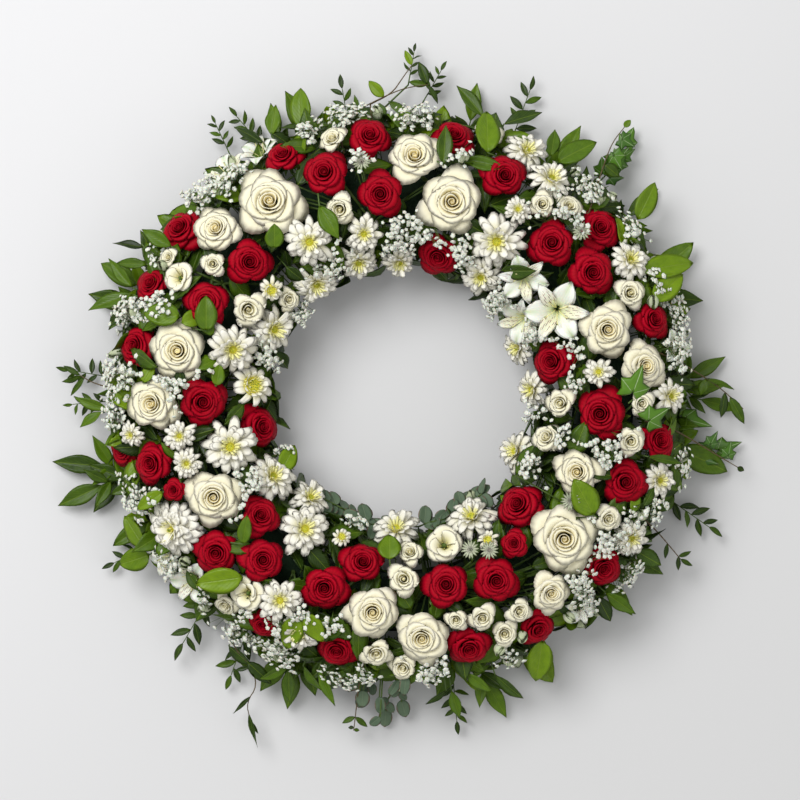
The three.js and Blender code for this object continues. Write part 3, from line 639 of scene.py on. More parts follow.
# %% Chrysanthemums
YELLOW_RAYS = 14


def ray(skin, draw, turn, base, length, half, lift, drop, share, rows=6, finish=0.0):
    """One grooved ray that leaves the eye, rises and droops."""
    v, u = petal_net(rows, 4 if rows > 4 else 3)
    width = half * swelling(0.10 + 0.72 * v ** 0.9) ** 0.55
    bend = draw.normal(0, 0.10)
    z = -0.18 + lift * v + 0.14 * np.sin(v * 2.4) + (bend - drop) * v * v
    z = z + 0.05 * (np.abs(u) ** 2 - 0.4) * (1 - 0.4 * v)
    radius = base + (length - base) * v * (1 - 0.12 * np.abs(u) ** 2 * v ** 3)
    side = u * width + draw.normal(0, 0.09) * v * v
    skin.sheet(polar_grid(radius, side, z, turn), 0.024, v, u, layer=share, petal=draw.uniform(),
               finish=finish)


def daisy(seed, rows=3, rays=13, eye=0.19, full=False):
    """Rows of white rays, a ring of short yellow ones, and an eye of tiny florets."""
    draw = np.random.default_rng(seed)
    skin = Skin()
    for row in range(rows):
        share = row / max(rows - 1, 1)
        count = rays - 2 * row if not full else rays
        for k in range(count):
            length = blend(1.0, 0.40 if full else 0.58, share ** 1.3) * (1 + draw.normal(0, 0.09))
            turn = 2 * math.pi * (k + 0.41 * row) / count + draw.normal(0, 0.10)
            base = eye * blend(0.8, 0.2 if full else 0.7, share)
            half = blend(0.19, 0.135, share) * (1 + draw.normal(0, 0.08))
            lift = blend(-0.06, 0.42 if full else 0.36, share) + draw.normal(0, 0.05)
            ray(skin, draw, turn, base, length, half, lift, blend(0.20, 0.02, share), share)
    for k in range(YELLOW_RAYS):
        turn = 2 * math.pi * (k + draw.uniform(-0.3, 0.3)) / YELLOW_RAYS
        length = 0.34 + draw.normal(0, 0.03)
        ray(skin, draw, turn, eye * 0.6, length, 0.05, 0.34, 0.0, 1.0, rows=4, finish=2.0)
    florets = 16 if full else 60
    for k in range(florets):
        share = (k + 0.5) / florets
        reach = eye * (0.5 if full else 1.0) * math.sqrt(share)
        turn = k * GOLDEN_ANGLE
        x, y = reach * math.cos(turn), reach * math.sin(turn)
        z = 0.02 - 0.03 * (1 - share) + (0.16 if full else 0) + draw.normal(0, 0.012)
        skin.spike(x, y, z - 0.09, z + 0.03, eye * 0.15, 4, turn, layer=share,
                   petal=draw.uniform(), finish=2.0)
    skin.lathe([(0, -0.30), (eye * 0.7, -0.26), (eye * 1.05, -0.15), (eye * 0.8, -0.05),
                (0, -0.03)], 12, finish=2.0, layer=0.5)
    calyx(skin, 0.34, draw)
    return skin


keep_templates("daisies", [daisy(30 + s) for s in range(6)])
keep_templates("double_daisies", [daisy(40 + s, rows=7, full=True) for s in range(2)])
keep_templates("button_daisies", [daisy(45 + s, rows=2, rays=11, eye=0.46) for s in range(2)])

# %% [markdown]
# An alstroemeria is a small lily: three broad outer tepals, three narrow inner ones with dark
# streaks, and six stamens that bend out of the throat. The single ones go among the gypsophila,
# where the finish mark 3 stands for tepals.

# %% Alstroemeria
def lily(seed, finish=0.0):
    """Three broad and three narrow tepals, and six stamens."""
    draw = np.random.default_rng(seed)
    skin = Skin()
    v, u = petal_net(8, 7)
    for k in range(6):
        inner = k % 2
        turn = math.pi * k / 3 + draw.normal(0, 0.05)
        width = 0.23 if inner else 0.37
        half = width * swelling(0.06 + 0.90 * v ** 1.25) ** 0.75
        radius = 0.04 + 0.98 * v ** (1.5 if inner else 1.35) * (1 - 0.05 * np.abs(u))
        z = -0.95 + 0.98 * np.sin(v * 1.75) ** 0.9 - 0.10 * v ** 3 * (1 if inner else 1.6)
        z = z + 0.07 * np.abs(u) ** 2 * v - 0.03 * inner * (1 - v)
        z = z + 0.02 * np.sin(6 * u + draw.uniform(0, 6)) * v ** 2
        points = polar_grid(radius, u * half, z, turn)
        skin.sheet(points, 0.02, v, u, layer=float(inner), petal=draw.uniform(), finish=finish)
    for k in range(6):
        turn = math.pi * (k + 0.5) / 3 + draw.normal(0, 0.15)
        v2, u2 = petal_net(6, 3)
        radius = 0.05 + 0.34 * v2 ** 1.6
        z = -0.8 + 0.86 * v2 ** 0.8
        half = np.where(v2 > 0.85, 0.035, 0.014)
        points = polar_grid(radius, u2 * half, z, turn)
        skin.sheet(points, 0.03, v2, u2, finish=2.0, layer=1.0, petal=draw.uniform())
    skin.lathe([(0, -1.12), (0.09, -1.05), (0.11, -0.92), (0.05, -0.84), (0, -0.82)], 8,
               finish=1.0)
    return skin


keep_templates("alstroemeria", [lily(50 + s) for s in range(3)])
keep_templates("single_lily", [lily(53 + s, 3.0) for s in range(2)])

# %% [markdown]
# Spray roses and lisianthus carry closed buds too. A bud is a tight pale spiral, half covered by
# green sepals. Four wrapped petals are enough, because the rest would be hidden.

# %% Buds
def bud(seed):
    """A closed bud: pale petals wrapped in a spiral, half covered by green sepals."""
    draw = np.random.default_rng(seed)
    skin = Skin()
    v, u = petal_net(6, 6)
    for k in range(4):
        radius = (0.30 + 0.04 * k) * swelling(0.12 + 0.80 * v) ** 0.8
        radius = radius + 0.05 * u * v
        angle = k * GOLDEN_ANGLE + u * (1.2 - 0.35 * v) + 0.5 * v
        z = -1.1 + 1.2 * v * (1 - 0.08 * np.abs(u) ** 2) + draw.normal(0, 0.02)
        points = round_grid(radius, angle, z)
        skin.sheet(points[:, ::-1], 0.02, v, u[:, ::-1], layer=0.2, petal=draw.uniform(),
                   finish=2.0)
    skin.lathe([(0, -1.25), (0.16, -1.15), (0.27, -0.95), (0.16, -0.85), (0, -0.8)], 7, finish=1.0)
    v, u = petal_net(4, 3)
    for k in range(5):
        half = 0.12 * (1 - v ** 1.5) + 0.01
        points = polar_grid(0.24 + 0.14 * np.sin(v * 2.6), u * half, -1.05 + 0.75 * v,
                            2 * math.pi * k / 5)
        skin.sheet(points[:, ::-1], 0.03, v, u[:, ::-1], finish=1.0)
    return skin


keep_templates("bud", [bud(57 + s) for s in range(3)])

# %% [markdown]
# Gypsophila is thousands of florets, each a double tuft on a green cup. Real petals would cost
# millions of faces, so a floret is a turned body whose rim swings in and out and whose points are
# crumpled by chance. It has a few dozen faces.

# %% Gypsophila florets
def floret(seed):
    """A crumpled white tuft on a green cup."""
    draw = np.random.default_rng(seed)
    skin = Skin()
    skin.lathe([(0, -0.45), (0.98, 0.08), (0.58, 0.40), (0, 0.22)], 10, swing=0.11, layer=0.5,
               petal=draw.uniform())
    skin.points[-1] = skin.points[-1] + draw.normal(0, 0.07, skin.points[-1].shape)
    skin.lathe([(0, -0.95), (0.34, -0.3), (0, -0.2)], 3, finish=1.0)
    return skin


keep_templates("floret", [floret(60 + s) for s in range(4)])

# %% [markdown]
# A masterwort head is a cushion of tiny florets on a collar of pale green pointed bracts. The
# collar is made like the rays of a chrysanthemum, and the cushion is a spiral of small spikes.

# %% Masterwort
BRACTS = 15
CUSHION_FLORETS = 34


def masterwort(seed):
    """A pale green collar of pointed bracts round a cushion of tiny florets."""
    draw = np.random.default_rng(seed)
    skin = Skin()
    v, u = petal_net(5, 3)
    for k in range(BRACTS):
        turn = 2 * math.pi * k / BRACTS + draw.normal(0, 0.05)
        half = 0.13 * swelling(0.1 + 0.9 * v) ** 0.8 + 0.003
        z = -0.1 + 0.22 * np.sin(v * 1.5)
        points = polar_grid(0.12 + 0.9 * v, u * half, z, turn)
        skin.sheet(points, 0.02, v, u, layer=0.2, petal=draw.uniform(), finish=2.0)
    for k in range(CUSHION_FLORETS):
        share = (k + 0.5) / CUSHION_FLORETS
        turn, reach = k * GOLDEN_ANGLE, 0.42 * math.sqrt(share)
        x, y, z = reach * math.cos(turn), reach * math.sin(turn), 0.42 - 0.4 * share
        skin.spike(x, y, z - 0.05, z + 0.05, 0.06, 3, layer=0.9, petal=draw.uniform(),
                   finish=2.0)
    return skin


keep_templates("masterwort", [masterwort(65)])

# %% [markdown]
# Stems, twigs and vines are sticks one unit long, which the planting stretches between two points.
# A curve with a bevel would be smoother, but sticks can be planted with the flowers in one list.

# %% Stalks
def stalk(sides, brown=0.0):
    """A stick one unit long along Z, with a radius of one unit."""
    skin = Skin()
    skin.lathe([(0, 0), (1, 0.001), (0.85, 0.999), (0, 1)], sides, finish=1.0, along=0.5,
               petal=brown)
    return skin


keep_templates("stalk", [stalk(6)])
keep_templates("twig", [stalk(3)])
keep_templates("brown_twig", [stalk(5, brown=1.0)])

# %% [markdown]
# Salal, ruscus, rose leaves and eucalyptus differ mostly in their outline: a lance, an oval, a
# coin. So every leaf is one sheet along X, one unit long and one unit wide, folded a little along
# its midrib, and the kind picks the outline, the shade and the finish.

# %% Leaves
LEAF_THICKNESS = 0.012
LEAF_TIP = 0.012  # half the width that is left at the very tip


def outline(kind, v):
    """Half the width of a leaf at a share of its length."""
    peak, power = {POINTED: (0.9, 1.15), BROAD: (0.85, 0.75), ROUND: (0.9, 0.55),
                   NARROW: (0.85, 1.1), SMALL: (0.9, 0.9)}[kind]
    return 0.5 * swelling(v ** peak) ** power


def leaf(kind, seed, fold=0.16, rows=10, cols=7):
    """One leaf of a kind, a little folded, drooping and twisted."""
    draw = np.random.default_rng(seed)
    skin = Skin()
    v, u = petal_net(rows, cols)
    y = u * (outline(kind, v) + LEAF_TIP)
    droop = draw.uniform(0.04, 0.16)
    twist = draw.normal(0, 0.25) + (1.1 if kind == NARROW else 0)
    z = fold * np.abs(y) - droop * v * v
    z = z + 0.02 * np.sin(v * 9 + draw.uniform(0, 6)) * np.abs(u) ** 2
    angle = twist * (v - 0.3)
    points = grid_of(v, y * np.cos(angle), z + 0.4 * y * np.sin(angle))
    finish = 3.0 if kind == ROUND else 0.0
    shade = {POINTED: 0.45, BROAD: 0.75, ROUND: 0.5, NARROW: 0.1, SMALL: 0.25}[kind]
    skin.sheet(points, LEAF_THICKNESS, v, 2 * y, layer=shade, petal=draw.uniform(),
               finish=finish)
    return skin


for kind in (POINTED, BROAD, ROUND, NARROW):
    keep_templates(f"leaf_{kind}", [leaf(kind, 70 + 10 * kind + s) for s in range(3)])

# %% [markdown]
# An ivy leaf has five pointed lobes. Bending one sheet into lobes by an outline made it look like
# holly, so it is a fan instead: rays leave the end of the stalk, and their length swings between
# lobe and bay.

# %% Ivy
IVY_ANGLES = (0, 14, 34, 62, 86, 112, 132)
IVY_REACH = (0.72, 0.54, 0.41, 0.56, 0.39, 0.44, 0.24)


def ivy_leaf(seed):
    """A leaf with five pointed lobes that spread like a fan from the end of its stalk."""
    draw = np.random.default_rng(seed)
    skin = Skin()
    angle = np.radians([-a for a in IVY_ANGLES[:0:-1]] + list(IVY_ANGLES))[None, :]
    reach = np.array(IVY_REACH[:0:-1] + IVY_REACH)[None, :] * (1 + draw.normal(0, 0.05, (1, 13)))
    v = np.linspace(0.03, 1, 6)[:, None]
    x = 0.28 + v * reach * np.cos(angle)
    y = v * reach * np.sin(angle)
    z = 0.10 * np.abs(np.sin(angle * 3.0)) * v * reach - 0.10 * v ** 2 + draw.normal(0, 0.01)
    skin.sheet(grid_of(x, y, z), LEAF_THICKNESS, v, angle / math.pi, layer=0.5,
               petal=draw.uniform(), finish=2.0)
    return skin


keep_templates(f"leaf_{IVY}", [ivy_leaf(90 + s) for s in range(3)])

# %% [markdown]
# Hundreds of small leaves close the gaps and hang round the sides. They are the same leaves with
# fewer points, because no one looks at them one by one.

# %% Small leaves
SMALL_GRID = {"rows": 7, "cols": 5}
keep_templates(f"leaf_{SMALL}", [leaf(SMALL, 120 + s, **SMALL_GRID) for s in range(3)])
keep_templates("filler", [leaf(k, 130 + k, **SMALL_GRID) for k in (SMALL, SMALL, POINTED, NARROW)])
keep_templates("skirt", [leaf(k, 140 + k, rows=8, cols=5) for k in (POINTED, SMALL, BROAD)])

# %% [markdown]
# Now the finishes. Materials could be wired by hand in the node editor, but they are easier to
# read as sums. A small class wraps a node's output, so that mask * 0.5 + 0.2 adds the Math nodes
# by itself.

# %% Shader sums
class Signal:
    """A number that varies over a surface, as the output of a node."""

    def __init__(self, recipe, socket):
        self.recipe = recipe
        self.socket = socket

    def _sum(self, operation, *others):
        return self.recipe.node("ShaderNodeMath", {"operation": operation},
                                dict(enumerate([self, *others])))

    def __add__(self, other):
        return self._sum("ADD", other)

    __radd__ = __add__

    def __mul__(self, other):
        return self._sum("MULTIPLY", other)

    __rmul__ = __mul__

    def __sub__(self, other):
        return self._sum("SUBTRACT", other)

    def __rsub__(self, other):
        return self * -1.0 + other

    def __abs__(self):
        return self._sum("ABSOLUTE")

    def sine(self):
        return self._sum("SINE")

    def above(self, edge):
        return self._sum("GREATER_THAN", edge)

    def clamped(self):
        """Kept between 0 and 1."""
        return self.recipe.node("ShaderNodeMath", {"operation": "MULTIPLY", "use_clamp": True},
                                {0: self, 1: 1.0})

    def step(self, low, high):
        """Rises smoothly from 0 at low to 1 at high."""
        settings = {"interpolation_type": "SMOOTHSTEP"}
        values = {"Value": self, "From Min": low, "From Max": high}
        return self.recipe.node("ShaderNodeMapRange", settings, values)


print("a signal knows:", [name for name in vars(Signal) if not name.startswith("_")])

# %% [markdown]
# Any other node comes from one method, which takes its type, its settings, and the values or links
# of its sockets. It serves materials and Geometry Nodes alike, so neither needs calls of its own.

# %% Trees of nodes
class Tree:
    """Adds nodes to a tree of any kind."""

    def __init__(self, tree):
        self.tree = tree

    def node(self, kind, settings=None, inputs=None, out=0):
        node = self.tree.nodes.new(kind)
        for key, value in (settings or {}).items():
            if key == "stops":
                self._stops(node.color_ramp, value)
            else:
                setattr(node, key, value)
        for key, value in (inputs or {}).items():
            self._feed(self._socket(node, key), value)
        return Signal(self, node.outputs[out])

    def _socket(self, node, key):
        if isinstance(key, int):
            return node.inputs[key]
        for socket in node.inputs:
            if socket.identifier == key:
                return socket
        return node.inputs[key]

    def _feed(self, socket, value):
        if isinstance(value, Signal):
            self.tree.links.new(value.socket, socket)
        elif hasattr(socket.default_value, "__len__") and len(value) == 3:
            socket.default_value = (*value, 1.0) if len(socket.default_value) == 4 else value
        else:
            socket.default_value = value

    def _stops(self, ramp, stops):
        while len(ramp.elements) < len(stops):
            ramp.elements.new(1.0)
        for element, (place, colour) in zip(ramp.elements, stops):
            element.position = place
            element.color = (*colour, 1.0)


print("a tree knows:", [name for name in vars(Tree) if not name.startswith("_")])

# %% [markdown]
# A recipe is a material whose tree is filled that way. It reads the marks that the skins carry, so
# a finish knows where on a petal it is. Painted pictures could say that too, but every shape would
# have to be laid out flat for them.

# %% Recipes
class Recipe(Tree):
    """A material and its node tree."""

    def __init__(self, name):
        self.material = bpy.data.materials.new(name)
        self.material.use_nodes = True
        super().__init__(self.material.node_tree)
        self.surface = self.tree.nodes["Principled BSDF"]

    def marks(self, *names):
        """Numbers that every point of a surface carries, by their names."""
        return [self.node("ShaderNodeAttribute", {"attribute_name": name}, out=2)
                for name in names]

    def ramp(self, signal, stops):
        return self.node("ShaderNodeValToRGB", {"stops": stops}, {0: signal})

    def mix(self, share, a, b):
        """Two colours mixed. A colour is a triple or the output of another node."""
        return self.node("ShaderNodeMix", {"data_type": "RGBA"},
                         {"Factor_Float": share, "A_Color": a, "B_Color": b}, out=2)

    def noise(self, scale, detail=3.0, roughness=0.5):
        where = self.node("ShaderNodeTexCoord", out=3)
        return self.node("ShaderNodeTexNoise", {},
                         {"Vector": where, "Scale": scale, "Detail": detail,
                          "Roughness": roughness})

    def bump(self, height, distance, strength=1.0):
        return self.node("ShaderNodeBump", {}, {"Strength": strength, "Distance": distance,
                                                "Height": height})

    def finish(self, **inputs):
        for key, value in inputs.items():
            self._feed(self.surface.inputs[key.replace("_", " ")], value)
        return self.material


print("a recipe knows:", [name for name in vars(Recipe) if not name.startswith("_")])

# %% [markdown]
# Petals are velvety, with fine veins that run from base to rim. The paler rim is partly the petal's
# own tone and partly a painted highlight, and the darker heart is partly its own tone and partly
# painted shade deep in the bloom. Painted shade towards each petal's base sinks the red ones nearly
# to black between the petals and keeps the ivory ones warm in their folds. All of it hangs on two
# marks, along a petal and from heart to rim, so one recipe with other colours serves every rose and
# ray. Light that scatters inside the petal was tried and left out, because it turned the ivory green.

# %% Petal finishes
def petal_finish(name, heart_tone_and_shade, middle, rim, fold, vein, heart_reach=0.45, gloss=0.14):
    """A petal's finish: its colours from heart to rim and in the folds, and how strong its veins
    are. The heart is partly painted shade, the folds are painted shade, and the rim is partly a
    painted highlight."""
    recipe = Recipe(name)
    layer, along, across = recipe.marks("layer", "along", "across")
    petal, tint = recipe.marks("petal", "tint")
    mottle = recipe.noise(90.0, 4.0)
    # Partly the petal's own tone and partly painted shade: the inner petals and the petal bases take the
    # darker heart colour, deep in the bloom.
    out = (layer * 0.8 + along * 0.25 + mottle * 0.15 + tint * 0.12).step(0.0, heart_reach * 2)
    body = recipe.mix(out, heart_tone_and_shade, middle)
    # Partly the petal's own paler edge and partly a painted highlight: the top of each petal takes the
    # lighter rim colour.
    rim_tone_and_highlight = (along + mottle * 0.10).step(0.86, 1.05)
    body = recipe.mix(rim_tone_and_highlight * (0.3 + 0.6 * petal), body, rim)
    # Painted shade: towards each petal's base the colour sinks to the fold colour, the shade between the
    # petals.
    body = recipe.mix(along.step(0.72, 0.2) * 0.85, body, fold)
    # The veins are a pattern of the petal's own, drawn in the same fold colour.
    streak = (across * 34.0 + mottle * 3.0).sine() * 0.5 + 0.5
    body = recipe.mix(streak * vein * along, body, fold)
    height = streak * 0.25 * along + mottle * 0.8
    return recipe.finish(Base_Color=body, Roughness=mottle * 0.2 + 0.5,
                         Specular_IOR_Level=gloss, Normal=recipe.bump(height, 0.0005, 0.6))


# The heart and fold colours below hold painted shade, and the rim colours partly a painted highlight.
RED_PETAL = petal_finish("crimson_petal", heart_tone_and_shade=(0.18, 0.0, 0.005), middle=(0.38, 0.0, 0.010),
                         rim=(0.52, 0.0, 0.020), fold=(0.06, 0.0, 0.002), vein=0.15, gloss=0.10)
IVORY_PETAL = petal_finish("ivory_petal", heart_tone_and_shade=(0.90, 0.77, 0.39), middle=(0.91, 0.86, 0.63),
                           rim=(0.89, 0.85, 0.73), fold=(0.86, 0.75, 0.40), vein=0.06,
                           heart_reach=0.42)
CREAM_PETAL = petal_finish("cream_petal", heart_tone_and_shade=(0.86, 0.77, 0.36), middle=(0.90, 0.86, 0.65),
                           rim=(0.91, 0.88, 0.78), fold=(0.80, 0.74, 0.36), vein=0.08,
                           heart_reach=0.3)
WHITE_RAY = petal_finish("white_ray", heart_tone_and_shade=(0.90, 0.86, 0.65), middle=(0.91, 0.885, 0.79),
                         rim=(0.92, 0.905, 0.85), fold=(0.84, 0.81, 0.56), vein=0.18,
                         heart_reach=0.2)
print("petal finishes:", [m.name for m in (RED_PETAL, IVORY_PETAL, CREAM_PETAL, WHITE_RAY)])

# %% [markdown]
# A chrysanthemum's eye is green in its middle and pale yellow outside. The layer mark says how far
# out a floret stands, so a ramp over it gives the colour.

# %% Daisy eye
def eye_finish():
    recipe = Recipe("daisy_eye")
    layer, petal = recipe.marks("layer", "petal")
    stops = [(0.0, (0.12, 0.22, 0.02)), (0.3, (0.32, 0.42, 0.03)), (0.55, (0.85, 0.74, 0.06)),
             (1.0, (0.93, 0.90, 0.42))]
    body = recipe.ramp(layer + petal * 0.1, stops)
    grain = recipe.noise(900.0, 2.0)
    return recipe.finish(Base_Color=body, Roughness=0.6 + grain * 0.2,
                         Normal=recipe.bump(grain, 0.0004))


DAISY_EYE = eye_finish()
print("made", DAISY_EYE.name)

# %% [markdown]
# Alstroemeria tepals are white with a green keel, and the inner ones have a golden patch with dark
# dashes. The dashes are where two sine waves are both high, broken up by noise, which costs less
# than painting them.

# %% Lily tepals
def lily_finish():
    recipe = Recipe("lily_tepal")
    layer, along, across, petal = recipe.marks("layer", "along", "across", "petal")
    speckle = recipe.noise(420.0, 1.0)
    body = recipe.mix(along.step(0.0, 0.6), (0.70, 0.76, 0.42), (0.93, 0.92, 0.83))
    green = (1.0 - abs(across) * 2.2).clamped() * along.step(0.35, 1.0) * (1.0 - layer)
    body = recipe.mix(green * 0.75, body, (0.36, 0.50, 0.16))
    gold = layer * along.step(0.25, 0.5) * along.step(0.95, 0.7) * petal.step(0.2, 0.6)
    body = recipe.mix(gold * 0.4, body, (0.84, 0.76, 0.34))
    dash = (across * 26.0).sine().above(0.45) * (along * 17.0 + across * 9.0).sine().above(0.1)
    dash = dash * layer * along.step(0.22, 0.34) * along.step(0.92, 0.7) * speckle.above(0.42)
    body = recipe.mix(dash * 0.85, body, (0.16, 0.03, 0.04))
    ribs = (across * 30.0).sine()
    return recipe.finish(Base_Color=body, Roughness=0.45 + speckle * 0.1, Sheen_Weight=0.1,
                         Subsurface_Weight=0.1, Subsurface_Scale=0.004,
                         Normal=recipe.bump(ribs * 0.3 + speckle * 0.4, 0.0004, 0.6))


LILY_TEPAL = lily_finish()
print("made", LILY_TEPAL.name)

# %% [markdown]
# A gypsophila floret is too small to show its petals, so noise paints shade into the white as darker
# creases, where the shade between its petals would fall. Masterwort bracts are pale green with veins,
# and turn rosy cream on the cushion.

# %% Florets and bracts
def floret_finish():
    recipe = Recipe("gypsophila_floret")
    petal, tint = recipe.marks("petal", "tint")
    crumple_and_crease_shade = recipe.noise(1100.0, 3.0)
    # Painted shade: the noise darkens the white into grey-green creases, where the shade between the tiny
    # petals would fall. The same noise also drives the bump.
    body = recipe.mix(crumple_and_crease_shade.step(0.35, 0.6), (0.62, 0.66, 0.48), (0.92, 0.93, 0.88))
    body = recipe.mix(tint * 0.25, body, (0.86, 0.85, 0.74))
    return recipe.finish(Base_Color=body, Roughness=0.7, Subsurface_Weight=0.1,
                         Subsurface_Scale=0.002, Normal=recipe.bump(crumple_and_crease_shade, 0.0008))


def masterwort_finish():
    recipe = Recipe("masterwort")
    layer, along, across = recipe.marks("layer", "along", "across")
    veins = (across * 20.0).sine() * 0.5 + 0.5
    body = recipe.mix(along.step(0.3, 1.0), (0.66, 0.70, 0.52), (0.50, 0.56, 0.34))
    body = recipe.mix(veins * 0.25, body, (0.36, 0.44, 0.22))
    body = recipe.mix(layer.step(0.5, 0.9), body, (0.78, 0.74, 0.66))
    grain = recipe.noise(800.0, 2.0)
    return recipe.finish(Base_Color=body, Roughness=0.6 + grain * 0.1,
                         Normal=recipe.bump(grain + veins * 0.4, 0.0004))


FLORET, MASTERWORT = floret_finish(), masterwort_finish()
print("made", FLORET.name, "and", MASTERWORT.name)

# %% [markdown]
# Leaves differ most in gloss and in their veins. Feathered leaves have a pale midrib and side
# veins at a slant, and ivy has pale veins that fan out from its stalk. Both patterns follow the
# leaf's own marks, so they stay in place however the leaf is stretched.

# %% Leaf finishes
def leaf_finish():
    recipe = Recipe("green_leaf")
    shade, along, across = recipe.marks("layer", "along", "across")
    petal, tint = recipe.marks("petal", "tint")
    mottle = recipe.noise(160.0, 4.0)
    level = shade * 0.7 + tint * 0.35 + mottle * 0.3 - 0.15
    body = recipe.ramp(level, [(0.0, (0.006, 0.014, 0.002)), (0.3, (0.022, 0.050, 0.003)),
                               (0.6, (0.078, 0.155, 0.002)), (1.0, (0.21, 0.33, 0.003))])
    rib = abs(across).step(0.07, 0.0)
    side = ((along - abs(across) * 0.45) * 52.0).sine().step(0.90, 1.0)
    body = recipe.mix((rib * 0.6 + side * 0.22).clamped(), body, (0.18, 0.27, 0.02))
    body = recipe.mix(abs(across).step(0.8, 1.0) * 0.25, body, (0.16, 0.24, 0.01))
    height = rib * -0.6 + side * -0.35 + mottle * 0.5
    return recipe.finish(Base_Color=body, Roughness=0.25 + mottle * 0.25,
                         Specular_IOR_Level=0.28, Normal=recipe.bump(height, 0.0007, 0.8))


def ivy_finish():
    recipe = Recipe("ivy_leaf")
    along, across, tint = recipe.marks("along", "across", "tint")
    mottle = recipe.noise(140.0, 4.0)
    vein = (abs((across * 9.1).sine()) * (along + 0.1)).step(0.14, 0.02)
    body = recipe.mix(mottle * 0.5 + tint * 0.6 - 0.1, (0.022, 0.08, 0.008), (0.11, 0.26, 0.008))
    body = recipe.mix(vein * 0.75, body, (0.42, 0.55, 0.28))
    return recipe.finish(Base_Color=body, Roughness=0.32 + mottle * 0.25,
                         Specular_IOR_Level=0.35,
                         Normal=recipe.bump(vein * -0.7 + mottle * 0.4, 0.0007, 0.8))


LEAF, IVY_LEAF = leaf_finish(), ivy_finish()
print("made", LEAF.name, "and", IVY_LEAF.name)

# %% [markdown]
# Eucalyptus is dull and grey with a warm rim. The leaf recipe with other colours would leave it too
# glossy, so it has its own. Stems are plain green or woody brown, and the petal mark tells which.

# %% Eucalyptus and stems
def eucalyptus_finish():
    recipe = Recipe("eucalyptus_leaf")
    along, across, tint = recipe.marks("along", "across", "tint")
    mottle = recipe.noise(200.0, 4.0)
    body = recipe.mix(mottle * 0.6 + tint * 0.4, (0.045, 0.085, 0.045), (0.13, 0.19, 0.11))
    rim = (abs(across).step(0.78, 0.98) + along.step(0.9, 1.0)).clamped()
    body = recipe.mix(rim * 0.6, body, (0.30, 0.12, 0.10))
    rib = abs(across).step(0.06, 0.0)
    body = recipe.mix(rib * 0.5, body, (0.22, 0.27, 0.16))
    return recipe.finish(Base_Color=body, Roughness=0.6 + mottle * 0.15,
                         Normal=recipe.bump(mottle * 0.6 - rib * 0.5, 0.0005, 0.7))


def stem_finish():
    recipe = Recipe("green_stem")
    along, tint, brown = recipe.marks("along", "tint", "petal")
    grain = recipe.noise(300.0, 3.0)
    body = recipe.mix(grain * 0.7 + tint * 0.3, (0.030, 0.065, 0.008), (0.10, 0.17, 0.02))
    body = recipe.mix(along.step(0.7, 1.0) * 0.4, body, (0.18, 0.26, 0.06))
    body = recipe.mix(brown * 0.85, body, (0.11, 0.060, 0.025))
    return recipe.finish(Base_Color=body, Roughness=0.5 + grain * 0.1,
                         Normal=recipe.bump(grain, 0.0004))


GREY_LEAF, STEM = eucalyptus_finish(), stem_finish()
print("made", GREY_LEAF.name, "and", STEM.name)

# %% [markdown]
# Wet floral foam is dark green with open cells, and here it is darkened further to nearly black as
# painted shade, because it shows only in the gaps between the blooms, where the shade falls. The
# tray is dark moulded plastic with a little wear. Both are hidden but for a few gaps, so two noises
# each are enough.

# %% Foam and tray finishes
def foam_with_painted_shade():
    recipe = Recipe("wet_foam_and_painted_shade")
    cells, dents = recipe.noise(1400.0, 2.0), recipe.noise(60.0, 4.0)
    # Painted shade: the foam's own dark green is taken down to nearly black, for the shade in the gaps
    # between the blooms.
    body = recipe.mix(cells * 0.6 + dents * 0.5, (0.006, 0.020, 0.008), (0.018, 0.050, 0.018))
    return recipe.finish(Base_Color=body, Roughness=0.9 + cells * 0.1,
                         Normal=recipe.bump(cells * 0.5 + dents * 1.5, 0.002))


def tray_finish():
    recipe = Recipe("tray_shell")
    grain, wear = recipe.noise(700.0, 2.0), recipe.noise(25.0, 4.0)
    body = recipe.mix(wear.step(0.35, 0.7), (0.010, 0.030, 0.014), (0.020, 0.050, 0.026))
    return recipe.finish(Base_Color=body, Roughness=0.38 + wear * 0.25,
                         Normal=recipe.bump(grain, 0.0003))


FOAM, TRAY = foam_with_painted_shade(), tray_finish()
print("made", FOAM.name, "and", TRAY.name)

# %% [markdown]
# One Geometry Nodes tree plants everything. It takes loose points, each with a template number, a
# rotation and a stretch, and puts the template there. It shakes the loose ones a little, gives
# each copy its own tint, and hands out the materials by the finish mark. Copies made one by one in
# Python would be slower, and every head would sit equally straight.

